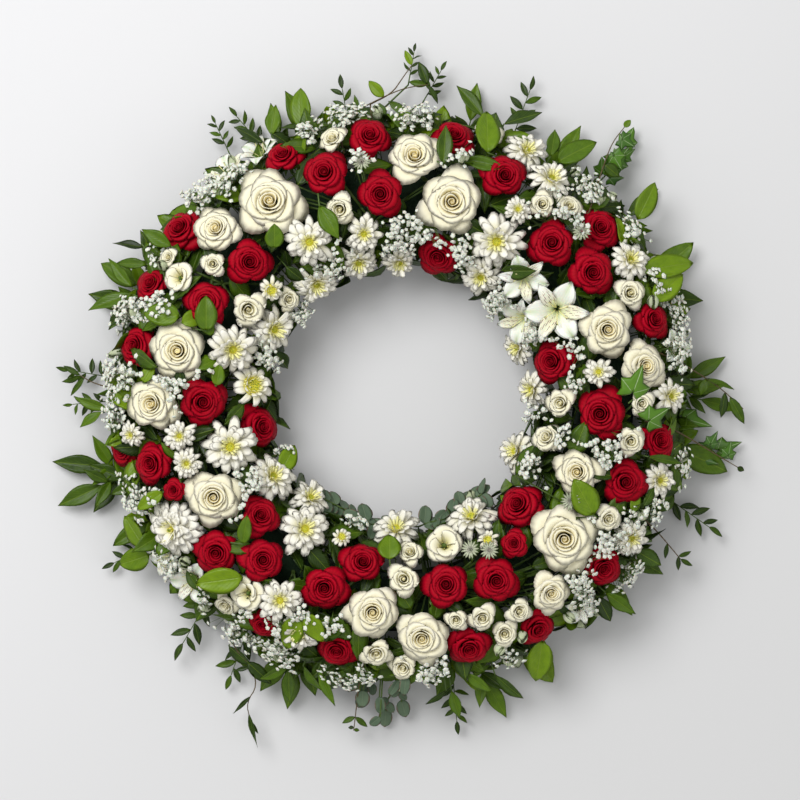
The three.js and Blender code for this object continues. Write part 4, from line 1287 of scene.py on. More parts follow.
# %% The planting tree
def planting_tree():
    """Builds the tree and notes the identifier of each of its inputs."""
    tree = bpy.data.node_groups.new("planting", "GeometryNodeTree")
    named = {}
    for name, kind in (("Places", "Geometry"), ("Templates", "Collection"), ("Tilt", "Float"),
                       ("Size change", "Float"), ("Seed", "Int"), ("Petals", "Material"),
                       ("Green parts", "Material"), ("Accent", "Material"),
                       ("Grey leaves", "Material")):
        named[name] = tree.interface.new_socket(name, in_out="INPUT",
                                                socket_type=f"NodeSocket{kind}").identifier
    tree.interface.new_socket("Planted", in_out="OUTPUT", socket_type="NodeSocketGeometry")
    graph = Tree(tree)
    entry = tree.nodes.new("NodeGroupInput")
    given = {name: Signal(graph, entry.outputs[name]) for name in named}

    def marked(name, kind):
        return graph.node("GeometryNodeInputNamedAttribute", {"data_type": kind}, {"Name": name})

    def chance(low, high, seed):
        return graph.node("FunctionNodeRandomValue", {"data_type": "FLOAT"},
                          {"Min_001": low, "Max_001": high, "Seed": seed}, out=1)

    members = graph.node("GeometryNodeCollectionInfo", {},
                         {"Collection": given["Templates"], "Separate Children": True,
                          "Reset Children": True})
    looseness = marked("loose", "FLOAT")
    tilts = [chance(-1.0, 1.0, given["Seed"] + step) * given["Tilt"] * looseness
             for step in (1, 2)]
    shake = graph.node("ShaderNodeCombineXYZ", {}, {"X": tilts[0], "Y": tilts[1]})
    turned = graph.node("FunctionNodeEulerToRotation", {}, {0: marked("rotation", "FLOAT_VECTOR")})
    shaken = graph.node("FunctionNodeRotateRotation", {"rotation_space": "LOCAL"},
                        {0: turned, 1: graph.node("FunctionNodeEulerToRotation", {}, {0: shake})})
    growth = chance(-1.0, 1.0, given["Seed"] + 3) * given["Size change"] * looseness + 1.0
    stretch = graph.node("ShaderNodeVectorMath", {"operation": "SCALE"},
                         {"Vector": marked("stretch", "FLOAT_VECTOR"), "Scale": growth})
    copies = graph.node("GeometryNodeInstanceOnPoints", {},
                        {"Points": given["Places"], "Instance": members, "Pick Instance": True,
                         "Instance Index": marked("variant", "INT"), "Rotation": shaken,
                         "Scale": stretch})
    tinted = graph.node("GeometryNodeStoreNamedAttribute", {"domain": "INSTANCE"},
                        {"Geometry": copies, "Name": "tint",
                         "Value": chance(0.0, 1.0, given["Seed"])})
    body = graph.node("GeometryNodeRealizeInstances", {}, {"Geometry": tinted})
    finish = marked("finish", "FLOAT")
    for number, name in enumerate(("Petals", "Green parts", "Accent", "Grey leaves")):
        chosen = graph.node("FunctionNodeCompare", {"data_type": "FLOAT", "operation": "EQUAL"},
                            {"A": finish, "B": float(number), "Epsilon": 0.1})
        body = graph.node("GeometryNodeSetMaterial", {},
                          {"Geometry": body, "Selection": chosen, "Material": given[name]})
    graph.tree.links.new(body.socket, tree.nodes.new("NodeGroupOutput").inputs[0])
    return tree, named


PLANTING, PLANTING_INPUTS = planting_tree()
print("planting inputs:", list(PLANTING_INPUTS))

# %% [markdown]
# A planting list notes what stands where in one piece. A stalk is a template too, turned and
# stretched until it spans two points. When the list is full, the tree grows it into one plain
# mesh, which takes the place of its solid in the frame.

# %% Planting lists
def unit(vector):
    """The vector at length one."""
    return vector / np.linalg.norm(vector)


class Planting:
    """Everything that one piece is made of, and where it stands, in millimetres."""

    def __init__(self, node, seed):
        self.node = node
        self.draw = np.random.default_rng(seed)
        self.rows = []

    def put(self, kind, at, ahead, over, stretch, loose=1.0):
        """Plants a template with its X axis near ahead and its Z axis on over."""
        over = unit(over)
        across = unit(np.cross(over, ahead))
        turn = Matrix(np.array([np.cross(across, over), across, over]).T.tolist()).to_euler()
        size = np.broadcast_to(np.asarray(stretch, float), 3) * MM
        self.rows.append((np.asarray(at, float) + RING_CENTRE, turn, size,
                          self.draw.choice(VARIANTS[kind]), loose))

    def stalk(self, start, end, radius, kind="stalk"):
        span = np.asarray(end, float) - start
        length = np.linalg.norm(span)
        side = np.cross(span, (0.31, 0.17, 0.93))
        self.put(kind, start, side, span, (radius, radius, length), loose=0.0)

    def stem(self, points, radii, kind="stalk"):
        """A stem through several points, in overlapping stalks."""
        for a, b, thick in zip(points, points[1:], radii):
            self.stalk(a, b + unit(b - a) * thick * 0.5, thick, kind)

    def spin(self):
        angle = self.draw.uniform(0, 2 * math.pi)
        return np.array([math.cos(angle), math.sin(angle), 0.02])

    def grow(self, slot, materials, tilt=0.0, change=0.0):
        """Grows the list into one mesh that stands for its node."""
        mesh = bpy.data.meshes.new(f"{self.node}_places")
        mesh.from_pydata([(row[0] * MM).tolist() for row in self.rows], [], [])
        for name, kind, field, column in (("rotation", "FLOAT_VECTOR", "vector", 1),
                                          ("stretch", "FLOAT_VECTOR", "vector", 2),
                                          ("variant", "INT", "value", 3),
                                          ("loose", "FLOAT", "value", 4)):
            values = np.array([row[column] for row in self.rows])
            kept = values.astype(np.int32 if kind == "INT" else np.float32).ravel()
            mesh.attributes.new(name, kind, "POINT").data.foreach_set(field, kept)
        piece = bpy.data.objects.new(f"{self.node}_dressed", mesh)
        bpy.context.scene.collection.objects.link(piece)
        growth = piece.modifiers.new("planting", "NODES")
        growth.node_group = PLANTING
        settings = {"Templates": TEMPLATES, "Tilt": tilt, "Size change": change,
                    "Seed": int(self.draw.integers(1000)), **materials}
        for name, value in settings.items():
            growth[PLANTING_INPUTS[name]] = value
        ready = bpy.context.evaluated_depsgraph_get()
        grown = bpy.data.meshes.new_from_object(piece.evaluated_get(ready),
                                                preserve_all_data_layers=True, depsgraph=ready)
        piece.modifiers.remove(growth)
        piece.data = grown
        for spare in ("stretch", "rotation", "variant", "loose"):
            if spare in grown.attributes:
                grown.attributes.remove(grown.attributes[spare])
        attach(piece, "root")
        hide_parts(self.node)
        return sum(len(p.vertices) - 2 for p in grown.polygons)


print("a planting list can:", [name for name in vars(Planting) if not name.startswith("_")])

# %% [markdown]
# The stems of a bunch are wired together over the foam and go into it as one foot. The solid shows
# where that foot is, so the dressed stems run from there: up out of the foam, along under the
# blooms, and up into each head.

# %% Stems of a bunch
HUB_LEVEL = 42.0
FOOT_RADIUS = 2.7
FOOT_SLICE = 3.5  # how much of the foot's end is averaged to find its middle


def foot_of(node):
    """The turn and lean at which a node's foot goes into the foam."""
    points = np.array([v.co for v in frame["nodes"][node].data.vertices]) / MM - RING_CENTRE
    side = np.hypot(points[:, 0], points[:, 1]) - RING_RADIUS
    level = np.hypot(side, points[:, 2] - CORE_HEIGHT)
    foot = points[level < level.min() + FOOT_SLICE].mean(0)
    side = math.hypot(foot[0], foot[1]) - RING_RADIUS
    lean = math.atan2(foot[2] - CORE_HEIGHT, side)
    return math.atan2(foot[1], foot[0]), (lean + math.pi / 2) % (2 * math.pi) - math.pi / 2


def plant_foot(plan):
    """Plants the foot of a bunch and returns its place."""
    foot = foot_of(plan.node)
    plan.stalk(point_at(*foot, PEG_LEVEL), point_at(*foot, HUB_LEVEL), FOOT_RADIUS)
    return foot


def way_between(foot, turn, lean, level, steps=4):
    """Points from the top of a foot to a level at another place, clear of the foam."""
    aside = (turn - foot[0] + math.pi) % (2 * math.pi) - math.pi
    shares = np.linspace(0, 1, steps + 1)
    levels = HUB_LEVEL + (level - HUB_LEVEL) * shares ** 2
    return point_at(foot[0] + aside * shares, foot[1] + (lean - foot[1]) * shares, levels)


print("turn and lean of the first foot:", [round(value, 2) for value in foot_of("red_roses_1")])

# %% [markdown]
# Now the blooms. Each stands where its solid stands and is turned at random about its own stem.
# Pointed straight away from the foam, the outer heads would show only their sides. A florist bends
# the necks so that the faces look up as well as out, so every head is tipped about its middle,
# part of the way to the sky. Big roses sit still, and the spray blooms nod a little.

# %% Dress the blooms
SKY = np.array([0.0, 0.0, 1.0])
LOOK_UP = 0.7
HEAD_MIDDLE = 12.0
BLOOM_FILL = {"red_roses": 1.05, "white_roses": 1.05, "spray_roses": 1.1, "daisies": 1.14,
              "alstroemeria": 1.3}
SEAT_DEPTH = {"red_roses": 1.15, "white_roses": 0.92, "spray_roses": 1.2, "daisies": 0.4,
              "alstroemeria": 1.05}
STEM_RADIUS = {"red_roses": 2.2, "white_roses": 2.3, "spray_roses": 1.5, "daisies": 1.4,
               "alstroemeria": 1.6}
BLOOM_LOOKS = {
    "red_roses": ("red_rose_petals", RED_PETAL, 0.12),
    "white_roses": ("ivory_rose_petals", IVORY_PETAL, 0.08),
    "spray_roses": ("cream_petals", CREAM_PETAL, 0.22),
    "daisies": ("daisy_petals", WHITE_RAY, 0.16),
    "alstroemeria": ("lily_petals", LILY_TEPAL, 0.18),
}
OTHER_FORMS = {
    ("daisies_5", 27): "double_daisies", ("daisies_3", 20): "button_daisies",
    ("daisies_6", 9): "button_daisies", ("daisies_8", 10): "button_daisies",
    ("daisies_1", 12): "button_daisies",
    ("spray_roses_4", 18): "lisianthus", ("spray_roses_5", 15): "lisianthus",
    ("spray_roses_5", 16): "lisianthus", ("spray_roses_2", 15): "lisianthus",
    ("spray_roses_3", 15): "lisianthus",
}


def dress_bunch(node, seed):
    """Dresses one bunch: its foot, its stems and its heads."""
    heads = [bloom for bloom in blooms if bloom["node"] == node]
    kind = heads[0]["kind"]
    plan = Planting(node, seed)
    foot = plant_foot(plan)
    for head in heads:
        turn, lean = head["turn"], head["lean"]
        size = head["room"] * BLOOM_FILL[kind]
        thick = STEM_RADIUS[kind]
        axis = unit(outwards(turn, lean) + SKY * LOOK_UP)
        face = point_at(turn, lean, FACE_LEVEL - HEAD_MIDDLE) + axis * HEAD_MIDDLE
        way = way_between(foot, turn, lean, FACE_LEVEL - SEAT_DEPTH[kind] * size - 8.0, 3)
        plan.stem([*way, face - axis * SEAT_DEPTH[kind] * size],
                  (thick, thick, thick * 0.9, thick * 0.8))
        form = OTHER_FORMS.get((node, head["radius"]), kind)
        plan.put(form, face, plan.spin(), axis, size)
    slot, petals, tilt = BLOOM_LOOKS[kind]
    looks = {"Petals": petals, "Green parts": STEM, "Accent": DAISY_EYE}
    return plan.grow(slot, looks, tilt, 0.03)


bloom_nodes = sorted({bloom["node"] for bloom in blooms})
bloom_triangles = [dress_bunch(node, 100 + i) for i, node in enumerate(bloom_nodes)]
print("bunches:", len(bloom_nodes), "triangles:", sum(bloom_triangles), "most:",
      max(bloom_triangles))

# %% [markdown]
# Leaves hide the foam. Every leaf is put in by one small helper that keeps its tip off the floor,
# because a real leaf bends where it touches. The narrow leaves of the layout are twigs of small
# leaves, and the other low ones carry two smaller sisters.

# %% Low leaves
LEAF_STALK = 1.1


def heading_of(degrees):
    """The level direction at an angle from +X."""
    angle = math.radians(degrees)
    return np.array([math.cos(angle), math.sin(angle), 0.0])


def plant_leaf(plan, kind, base, ahead, over, length, width, loose=1.0):
    """Plants a leaf from its base. Its tip stays clear of the floor, however it droops."""
    least = (4.0 + length * (0.18 + 0.22 * loose) - base[2]) / length
    ahead = np.array([ahead[0], ahead[1], max(ahead[2], least)])
    over = over - unit(ahead) * (over @ unit(ahead))
    plan.put(kind, base, ahead, over, (length, width, length), loose)


def sprig(plan, base, degrees, length, leaves=9):
    """A thin twig with small leaves in pairs, one at its tip."""
    draw = plan.draw
    tip = base + heading_of(degrees) * length + SKY * draw.uniform(2, 8)
    plan.stalk(base, tip, 0.6, "twig")
    for k in range(leaves):
        share = 0.1 + 0.9 * k / (leaves - 1)
        aside = 0.0 if k == leaves - 1 else (50 if k % 2 else -50) + draw.normal(0, 9)
        size = length * blend(0.46, 0.34, share) * draw.uniform(0.85, 1.15)
        over = SKY + 0.3 * draw.normal(size=3)
        plant_leaf(plan, f"leaf_{SMALL}", blend(base, tip, share), heading_of(degrees + aside),
                   over, size, size * 0.36, 0.5)


def low_leaves(plan, foot, leaves):
    """Leaves that reach out under the blooms, each with two smaller sisters."""
    draw = plan.draw
    for number, (x, y, degrees, length, width, kind) in enumerate(leaves):
        ahead = heading_of(degrees)
        base = np.array([x, y, LOW_LEAF_HEIGHTS[number % 2]]) - ahead * length / 2
        start = point_at(*foot, HUB_LEVEL)
        middle = (start + base) / 2 + SKY * 3
        plan.stem([start, middle, base - ahead * 8, base + ahead * length * 0.1],
                  (LEAF_STALK, LEAF_STALK * 0.9, LEAF_STALK * 0.7))
        if kind == NARROW:
            sprig(plan, base, degrees, length, 7)
            continue
        if kind == ROUND:
            length, width = length * 0.85, width * 0.7
        plant_leaf(plan, f"leaf_{kind}", base, ahead, SKY, length, width, 0.3)
        for side in (-1, 1):
            share = draw.uniform(0.55, 0.8)
            aside = heading_of(degrees + side * draw.uniform(28, 52))
            knot = base - ahead * draw.uniform(5, 13) + SKY * 4
            plant_leaf(plan, f"leaf_{kind}", knot, aside + SKY * draw.uniform(0.1, 0.4), SKY,
                       length * share, width * share, 0.3)


print("a heading of 90 degrees:", heading_of(90.0).round(2))

# %% [markdown]
# High leaves come up between the blooms, where their solids stand. Laid leaves rest on the blooms
# or on the rim, and lean the way the tube leans under them.

# %% High leaves and laid leaves
TUCKED_LEVEL = 84.0


def high_leaves(plan, foot):
    """Leaves that come up between the blooms, where their solids stand."""
    for item in items:
        if item["node"] == plan.node and item["kind"] == "leaf":
            turn, lean = item["turn"], item["lean"]
            length, width = item["size"]
            plan.stem(way_between(foot, turn, lean, TUCKED_LEVEL),
                      (LEAF_STALK, LEAF_STALK, LEAF_STALK, LEAF_STALK * 0.8))
            ahead = heading_of(math.degrees(item["angle"]))
            over = outwards(turn, lean) - 0.22 * ahead
            plan.put(f"leaf_{item['leaf']}", point_at(turn, lean, TUCKED_LEVEL), ahead, over,
                     (length, width, length), 0.4)


def laid_leaf(plan, foot, x, y, degrees, length, width, kind):
    """A leaf over the blooms or over the rim, on a stem that comes up between them."""
    ahead = heading_of(degrees)
    base = np.array([x, y, 0.0]) - ahead * length / 2
    turn, lean = place_over(base[0], base[1])
    base[2] = point_at(turn, lean, TUCKED_LEVEL)[2] - 2.0
    way = way_between(foot, turn, lean, 64.0, 3)
    plan.stem([*way, base], (LEAF_STALK, LEAF_STALK, LEAF_STALK, LEAF_STALK * 0.8))
    over = outwards(turn, lean) + 1.2 * SKY + 0.15 * plan.draw.normal(size=3)
    plant_leaf(plan, f"leaf_{kind}", base, ahead - SKY * 0.12, over, length, width, 0.4)


print("leaves come up to level", TUCKED_LEVEL)

# %% [markdown]
# A vine wanders. Its few points are listed and its corners are cut twice, which bends it
# softly without any curve to convert.

# %% Vines
def smoothed(points, rounds=2):
    """Cuts the corners of a line of points."""
    points = np.array(points, float)
    for _ in range(rounds):
        near, far = points[:-1] * 0.75 + points[1:] * 0.25, points[:-1] * 0.25 + points[1:] * 0.75
        cut = np.stack([near, far], 1).reshape(-1, 3)
        points = np.concatenate([points[:1], cut, points[-1:]])
    return points


def vine(plan, foot, points, leaves):
    """A thin brown stem that runs out over the rim, with its leaves."""
    turn, lean = place_over(points[0][0], points[0][1])
    plan.stem([*way_between(foot, turn, lean, 62.0, 3), np.array(points[0], float)],
              [1.0] * 4, "brown_twig")
    line = smoothed(points)
    plan.stem(line, np.linspace(0.95, 0.45, len(line)), "brown_twig")
    for share, degrees, length, width, kind in leaves:
        base = line[round(share * (len(line) - 1))]
        over = SKY + 0.25 * plan.draw.normal(size=3)
        plant_leaf(plan, f"leaf_{kind}", base, heading_of(degrees), over, length, width, 0.3)


print("points of the first vine once smoothed:", len(smoothed(VINES[0][0])))

# %% [markdown]
# Besides the leaves of the layout, each spray gets many small dark ones. Fillers are drawn at
# random over the tube, and only those in a gap between the blooms are kept, because a leaf through
# a rose would show at once.

# %% Filler leaves
FILLERS_EACH = 110
FILLER_SPREAD = math.radians(27)
LOWEST_FILLER = 9.0
bloom_points = np.array([point_at(b["turn"], b["lean"], PACK_LEVEL) for b in blooms])
bloom_rooms = np.array([b["room"] for b in blooms])


def gap_at(points):
    """How far each point lies from the nearest bloom's rim."""
    away = np.linalg.norm(points[:, None] - bloom_points[None], axis=2)
    return (away - bloom_rooms[None]).min(1)


def scattered_leaf(plan, point, out, kind, length, pitch):
    """A leaf on its own short stalk, drawn at random round its middle."""
    draw = plan.draw
    ahead = unit(np.cross(out, draw.normal(size=3)) + out * draw.uniform(*pitch))
    over = unit(np.cross(ahead, np.cross(out, ahead)) + 0.3 * draw.normal(size=3))
    base = point - ahead * length * 0.45
    base[2] = max(base[2], LOWEST_FILLER)
    plant_leaf(plan, kind, base, ahead, over, length, length * draw.uniform(0.42, 0.58))
    plan.stalk(base - out * 22, base + ahead * length * 0.06, 0.7, "twig")


def filler_leaves(plan, middle, spread, count):
    """Small dark leaves in the gaps between the blooms, over the foam."""
    draw = plan.draw
    turn = middle + draw.uniform(-spread, spread, count * 3)
    lean = np.radians(draw.uniform(-8, 180, count * 3))
    points = point_at(turn, lean, draw.uniform(54, 78, count * 3))
    best = np.argsort(-(gap_at(points) + draw.normal(0, 7, count * 3)))[:count]
    for k in best:
        scattered_leaf(plan, points[k], outwards(turn[k], lean[k]), "filler",
                       draw.uniform(26, 42), (-0.2, 0.6))


print("widest gap at a bloom's own place, mm:", round(float(gap_at(bloom_points).max()), 1))

# %% [markdown]
# Seen from the side, a wreath is a fringe of leaves. Skirt leaves lie like shingles round the
# outer and the inner side and close the view to the foam, and side leaves reach outwards under the
# outer blooms.

# %% Skirt and side leaves
SKIRT_EACH = 34
SKIRT_SPREAD = math.radians(24)
LOWEST_SKIRT = 10.0
SIDE_LEAVES_EACH = 16
SIDE_SPREAD = math.radians(25)


def skirt_leaves(plan, middle, spread, count):
    """Leaves that lie like shingles round the outer and the inner side."""
    draw = plan.draw
    for k in range(count):
        turn = middle + draw.uniform(-spread, spread)
        inside = k % 3 == 0
        lean = math.radians(draw.uniform(152, 186) if inside else draw.uniform(-10, 40))
        out = outwards(turn, lean)
        along = np.array([-math.sin(turn), math.cos(turn), 0.0])
        point = point_at(turn, lean, draw.uniform(54, 64) if inside else draw.uniform(58, 80))
        ahead = unit(along * draw.normal(0, 0.7) + out * draw.uniform(0.1, 0.9) - SKY * 0.15)
        length = draw.uniform(24, 34) if inside else draw.uniform(34, 48)
        base = point - ahead * length * 0.5
        base[2] = max(base[2], LOWEST_SKIRT)
        plant_leaf(plan, "skirt", base, ahead, unit(out * 0.5 + SKY * 0.8), length,
                   length * draw.uniform(0.42, 0.6), 0.8)
        plan.stalk(base - out * 18, base + ahead * length * 0.06, 0.8, "twig")


def side_leaves(plan, middle, spread, count):
    """Leaves that reach outwards under the outer blooms."""
    draw = plan.draw
    for _ in range(count):
        turn = middle + draw.uniform(-spread, spread)
        lean = math.radians(draw.uniform(-8, 34))
        point = point_at(turn, lean, draw.uniform(66, 84))
        kind = draw.choice([POINTED, POINTED, BROAD, SMALL])
        scattered_leaf(plan, point, outwards(turn, lean), f"leaf_{kind}", draw.uniform(28, 44),
                       (0.4, 1.6))


print("small leaves in a spray:", FILLERS_EACH + SKIRT_EACH + SIDE_LEAVES_EACH)

# %% [markdown]
# Each spray is filled in turn. The laid leaves and vines go to the spray whose foot is nearest, and
# so do some extra leaves where the view from the side or from above showed a thin spot.

# %% Dress the foliage
LEAF_LOOKS = {"Petals": LEAF, "Green parts": STEM, "Accent": IVY_LEAF, "Grey leaves": GREY_LEAF}
THIN_SPREAD = math.radians(11)
THIN_SPOTS = [(134, 0, 24), (294, 18, 3)]  # turn in degrees, fillers, skirt leaves
sprays = [Planting(f"foliage_{number}", 300 + number) for number in range(1, len(FOLIAGE) + 1)]
spray_feet = [plant_foot(plan) for plan in sprays]


def spray_near(x, y):
    """The number of the spray whose foot has nearly the same turn."""
    aside = [abs((math.atan2(y, x) - foot[0] + math.pi) % (2 * math.pi) - math.pi)
             for foot in spray_feet]
    return int(np.argmin(aside))


for plan, foot, (low, high) in zip(sprays, spray_feet, FOLIAGE):
    low_leaves(plan, foot, low)
    high_leaves(plan, foot)
    filler_leaves(plan, foot[0], FILLER_SPREAD, FILLERS_EACH)
    skirt_leaves(plan, foot[0], SKIRT_SPREAD, SKIRT_EACH)
    side_leaves(plan, foot[0], SIDE_SPREAD, SIDE_LEAVES_EACH)
for x, y, *shape in LAID_LEAVES:
    number = spray_near(x, y)
    laid_leaf(sprays[number], spray_feet[number], x, y, *shape)
for points, leaves in VINES:
    number = spray_near(points[0][0], points[0][1])
    vine(sprays[number], spray_feet[number], points, leaves)
for degrees, fillers, skirts in THIN_SPOTS:
    turn = math.radians(degrees)
    number = spray_near(math.cos(turn), math.sin(turn))
    filler_leaves(sprays[number], turn, THIN_SPREAD, fillers)
    skirt_leaves(sprays[number], turn, THIN_SPREAD, skirts)
spray_triangles = [plan.grow("green_leaves", LEAF_LOOKS, 0.25, 0.08) for plan in sprays]
print("sprays:", len(spray_triangles), "triangles:", sum(spray_triangles))

# %% [markdown]
# The eucalyptus along the lower inner edge is a garland: two twigs leave one foot, left and right,
# with a pair of small round leaves at every step. The leaves overlap like scales, as they do near
# the tip of a young branch.

# %% The eucalyptus garland
def garland(plan, foot, ends, lean, level, count):
    """A twig of overlapping eucalyptus leaves along the inner edge, from its foot both ways."""
    draw = plan.draw
    for end in ends:
        turns = np.linspace(foot[0], math.radians(end), count)
        leans = np.radians(lean + 4 * np.sin(np.arange(count) * 0.9))
        way = point_at(turns, leans, level - 6 * np.linspace(1, 0, count))
        plan.stem([point_at(*foot, HUB_LEVEL), *way], [1.0] * count)
        for k in range(1, count):
            out = outwards(turns[k], leans[k])
            ahead = unit(way[k] - way[k - 1])
            for side in (-1, 1):
                aside = unit(np.cross(out, ahead)) * side
                heading = unit(ahead * draw.uniform(0.3, 0.9) + aside + out * 0.25)
                over = out + 0.8 * SKY + 0.35 * draw.normal(size=3)
                size = draw.uniform(15, 21)
                plan.put(f"leaf_{ROUND}", way[k], heading, over, (size, size * 0.72, size))


inner = Planting("inner_eucalyptus", 320)
garland(inner, plant_foot(inner), ends=(-128, -50), lean=166.0, level=84.0, count=13)
print("garland triangles:", inner.grow("eucalyptus_leaves", LEAF_LOOKS, 0.2, 0.05))

# %% [markdown]
# Gypsophila is a haze of tiny double florets on thin twigs that fork again and again. It was laid
# out from the photograph as the centres of its clouds. Buds, masterwort heads and two single
# alstroemerias stand among it, so they are listed here too.

# %% Where the gypsophila stands
CLOUDS = [
    (25, 162), (-70, 127), (-211, 14), (-289, 14), (-294, 47), (195, 207), (65, 128), (100, 87),
    (125, 67), (190, -53), (220, -138), (-120, -203), (-277, -95), (-70, 277), (20, 287),
    (30, -273), (-206, 214), (-175, -103), (-128, 42), (300, 67), (185, -163), (-300, -40),
    (-270, 110), (-230, -190), (-45, 290), (235, 165), (290, 85), (300, -95), (-285, 60),
    (240, -185), (-60, -280), (-175, -245), (-185, 205), (150, 190), (-140, -262),
]
MASTERWORTS = [(-35, 229), (90, -163), (182, 166), (75, -155), (170, -102)]
BUDS = [(-190, 248), (130, -262), (118, -270), (96, -252), (292, 66), (-243, 177), (-238, 134),
        (-268, 90), (-270, 19), (-287, -20), (-165, -234), (170, 230), (205, 190), (-30, 285),
        (2, -300), (-60, -300), (285, -60), (170, -222), (186, -230), (200, -218), (250, 95),
        (-120, -262), (-185, 205), (38, -60), (-228, -150), (108, -246), (112, -262), (235, -128),
        (60, 246), (262, 140), (-290, 44), (-205, -205), (216, 200)]
SINGLE_LILIES = [(184, -214), (282, 48)]
print("clouds:", len(CLOUDS), "buds:", len(BUDS))

# %% [markdown]
# Real gypsophila slips between the blooms and never through them. So a cloud looks for the widest
# gap near its place, and its florets prefer places over gaps too. Small clouds fill the widest
# gaps that are left.

# %% Gaps for gypsophila
def clear_spots(draw, root, spread, count):
    """Heads for florets round a root, mostly in the gaps between the blooms."""
    tries = count * 3
    away = draw.normal(0, spread, (tries, 2))
    turn, lean = place_of(root + np.column_stack([away, np.zeros(tries)]))
    heads = point_at(turn, lean, draw.uniform(80, 100, tries))
    under = point_at(turn, lean, np.full(tries, PACK_LEVEL))
    best = np.argsort(-(np.minimum(gap_at(under), 2.0) + draw.normal(0, 1.0, tries)))[:count]
    best = best[gap_at(under[best]) > -5.0]
    return heads[best], outwards(turn[best], lean[best])


def gap_near(draw, x, y, spread=11.0, tries=80):
    """The widest gap between the blooms near a place."""
    away = draw.normal(0, spread, (tries, 2))
    turn, lean = place_of(point_at(*place_over(x, y), PACK_LEVEL)
                          + np.column_stack([away, np.zeros(tries)]))
    best = np.argmax(np.minimum(gap_at(point_at(turn, lean, np.full(tries, PACK_LEVEL))), 12.0)
                     - 0.25 * np.hypot(*away.T))
    return turn[best], lean[best]


def scattered_clouds(draw, count):
    """Centres of small clouds in the gaps between the blooms."""
    turn = draw.uniform(-math.pi, math.pi, count * 8)
    lean = np.radians(draw.uniform(14, 166, count * 8))
    points = point_at(turn, lean, np.full(count * 8, PACK_LEVEL))
    best = np.argsort(-gap_at(points))[:count]
    return [(points[k][0], points[k][1]) for k in best]


def owner_of(x, y):
    """The number of the gypsophila bunch whose masts stand nearest."""
    reach = [min(math.hypot(x - mx, y - my) for mx, my in masts) for masts in GYPSOPHILA]
    return int(np.argmin(reach))


print("bunch that owns the first cloud:", owner_of(*CLOUDS[0]) + 1)

# %% [markdown]
# Each cloud has one stem, a few knots, and a twig from the nearest knot to every floret. Growing
# true forks would take a tree of twigs that the florets hide anyway.

# %% Clouds and small heads
FLORET_RADIUS = 2.7
KNOTS_EACH = 6
LONGEST_TWIG = 30


def plant_cloud(plan, foot, x, y, florets, spread):
    """A cloud of florets: one stem to its root, a few knots, and florets on their own twigs."""
    draw = plan.draw
    turn, lean = gap_near(draw, x, y)
    root = point_at(turn, lean, NECK_LEVEL + 4)
    plan.stem(way_between(foot, turn, lean, NECK_LEVEL + 4), (1.2, 1.1, 1.0, 0.9))
    knots = []
    for _ in range(KNOTS_EACH):
        away = draw.normal(0, spread * 0.5, 2)
        place = place_of(point_at(turn, lean, PACK_LEVEL) + np.array([away[0], away[1], 0.0]))
        knots.append(point_at(*gap_near(draw, *point_at(*place, PACK_LEVEL)[:2], 4.0, 12),
                              draw.uniform(70, 84)))
        plan.stalk(root, knots[-1], 0.6, "twig")
    knots = np.array(knots)
    for head, out in zip(*clear_spots(draw, knots[0], spread, florets)):
        nearest = knots[np.argmin(np.linalg.norm(knots - head, axis=1))]
        if np.linalg.norm(nearest - head) > LONGEST_TWIG:
            continue
        plan.stalk(nearest, head, 0.25, "twig")
        out = unit(unit(head - nearest) + out)
        plan.put("floret", head, plan.spin(), out, FLORET_RADIUS * draw.uniform(0.7, 1.15))


def plant_head(kind, x, y, size, level, tip):
    """One bloom on its own stem, in the bunch that owns its place."""
    owner = owner_of(x, y)
    plan, foot = gypsophila_plans[owner], gypsophila_feet[owner]
    turn, lean = gap_near(plan.draw, x, y, 6.0, 30)
    axis = unit(outwards(turn, lean) + SKY * LOOK_UP + tip * plan.draw.normal(size=3))
    face = point_at(turn, lean, level)
    way = way_between(foot, turn, lean, level - size - 14.0, 3)
    plan.stem([*way, face - axis * size], (1.1, 1.0, 0.9, 0.8))
    plan.put(kind, face, plan.spin(), axis, size, 0.3)


print("a floret is about", 2 * FLORET_RADIUS, "mm across")

# %% [markdown]
# The four bunches of gypsophila share out the clouds and the small heads by distance, and each
# grows into one piece. One piece for every cloud would be easier to edit, but the frame has only
# these four to replace.

# %% Dress the gypsophila
FLORETS_EACH = 68
LOOSE_CLOUDS = 48
LOOSE_FLORETS = 22
SMALL_HEADS = (("masterwort", MASTERWORTS, 10.0, 88.0, 0.15), ("bud", BUDS, 14.0, 91.0, 0.35),
               ("single_lily", SINGLE_LILIES, 19.0, 84.0, 0.2))
CLOUD_LOOKS = {"Petals": FLORET, "Green parts": STEM, "Accent": MASTERWORT,
               "Grey leaves": LILY_TEPAL}
gypsophila_plans = [Planting(f"gypsophila_{i}", 400 + i) for i in range(1, 5)]
gypsophila_feet = [plant_foot(plan) for plan in gypsophila_plans]
clouds = [(x, y, FLORETS_EACH, 15.0) for x, y in CLOUDS]
clouds += [(x, y, LOOSE_FLORETS, 9.0)
           for x, y in scattered_clouds(np.random.default_rng(7), LOOSE_CLOUDS)]
for x, y, florets, spread in clouds:
    owner = owner_of(x, y)
    plant_cloud(gypsophila_plans[owner], gypsophila_feet[owner], x, y, florets, spread)
for kind, places, size, level, tip in SMALL_HEADS:
    for x, y in places:
        plant_head(kind, x, y, size, level, tip)
cloud_triangles = [plan.grow("gypsophila_florets", CLOUD_LOOKS, 0.5, 0.1)
                   for plan in gypsophila_plans]
print("clouds:", len(clouds), "triangles:", cloud_triangles)

# %% [markdown]
# The foam ring and its tray are shown as the solids are, because their shapes are right. They only
# get their materials.

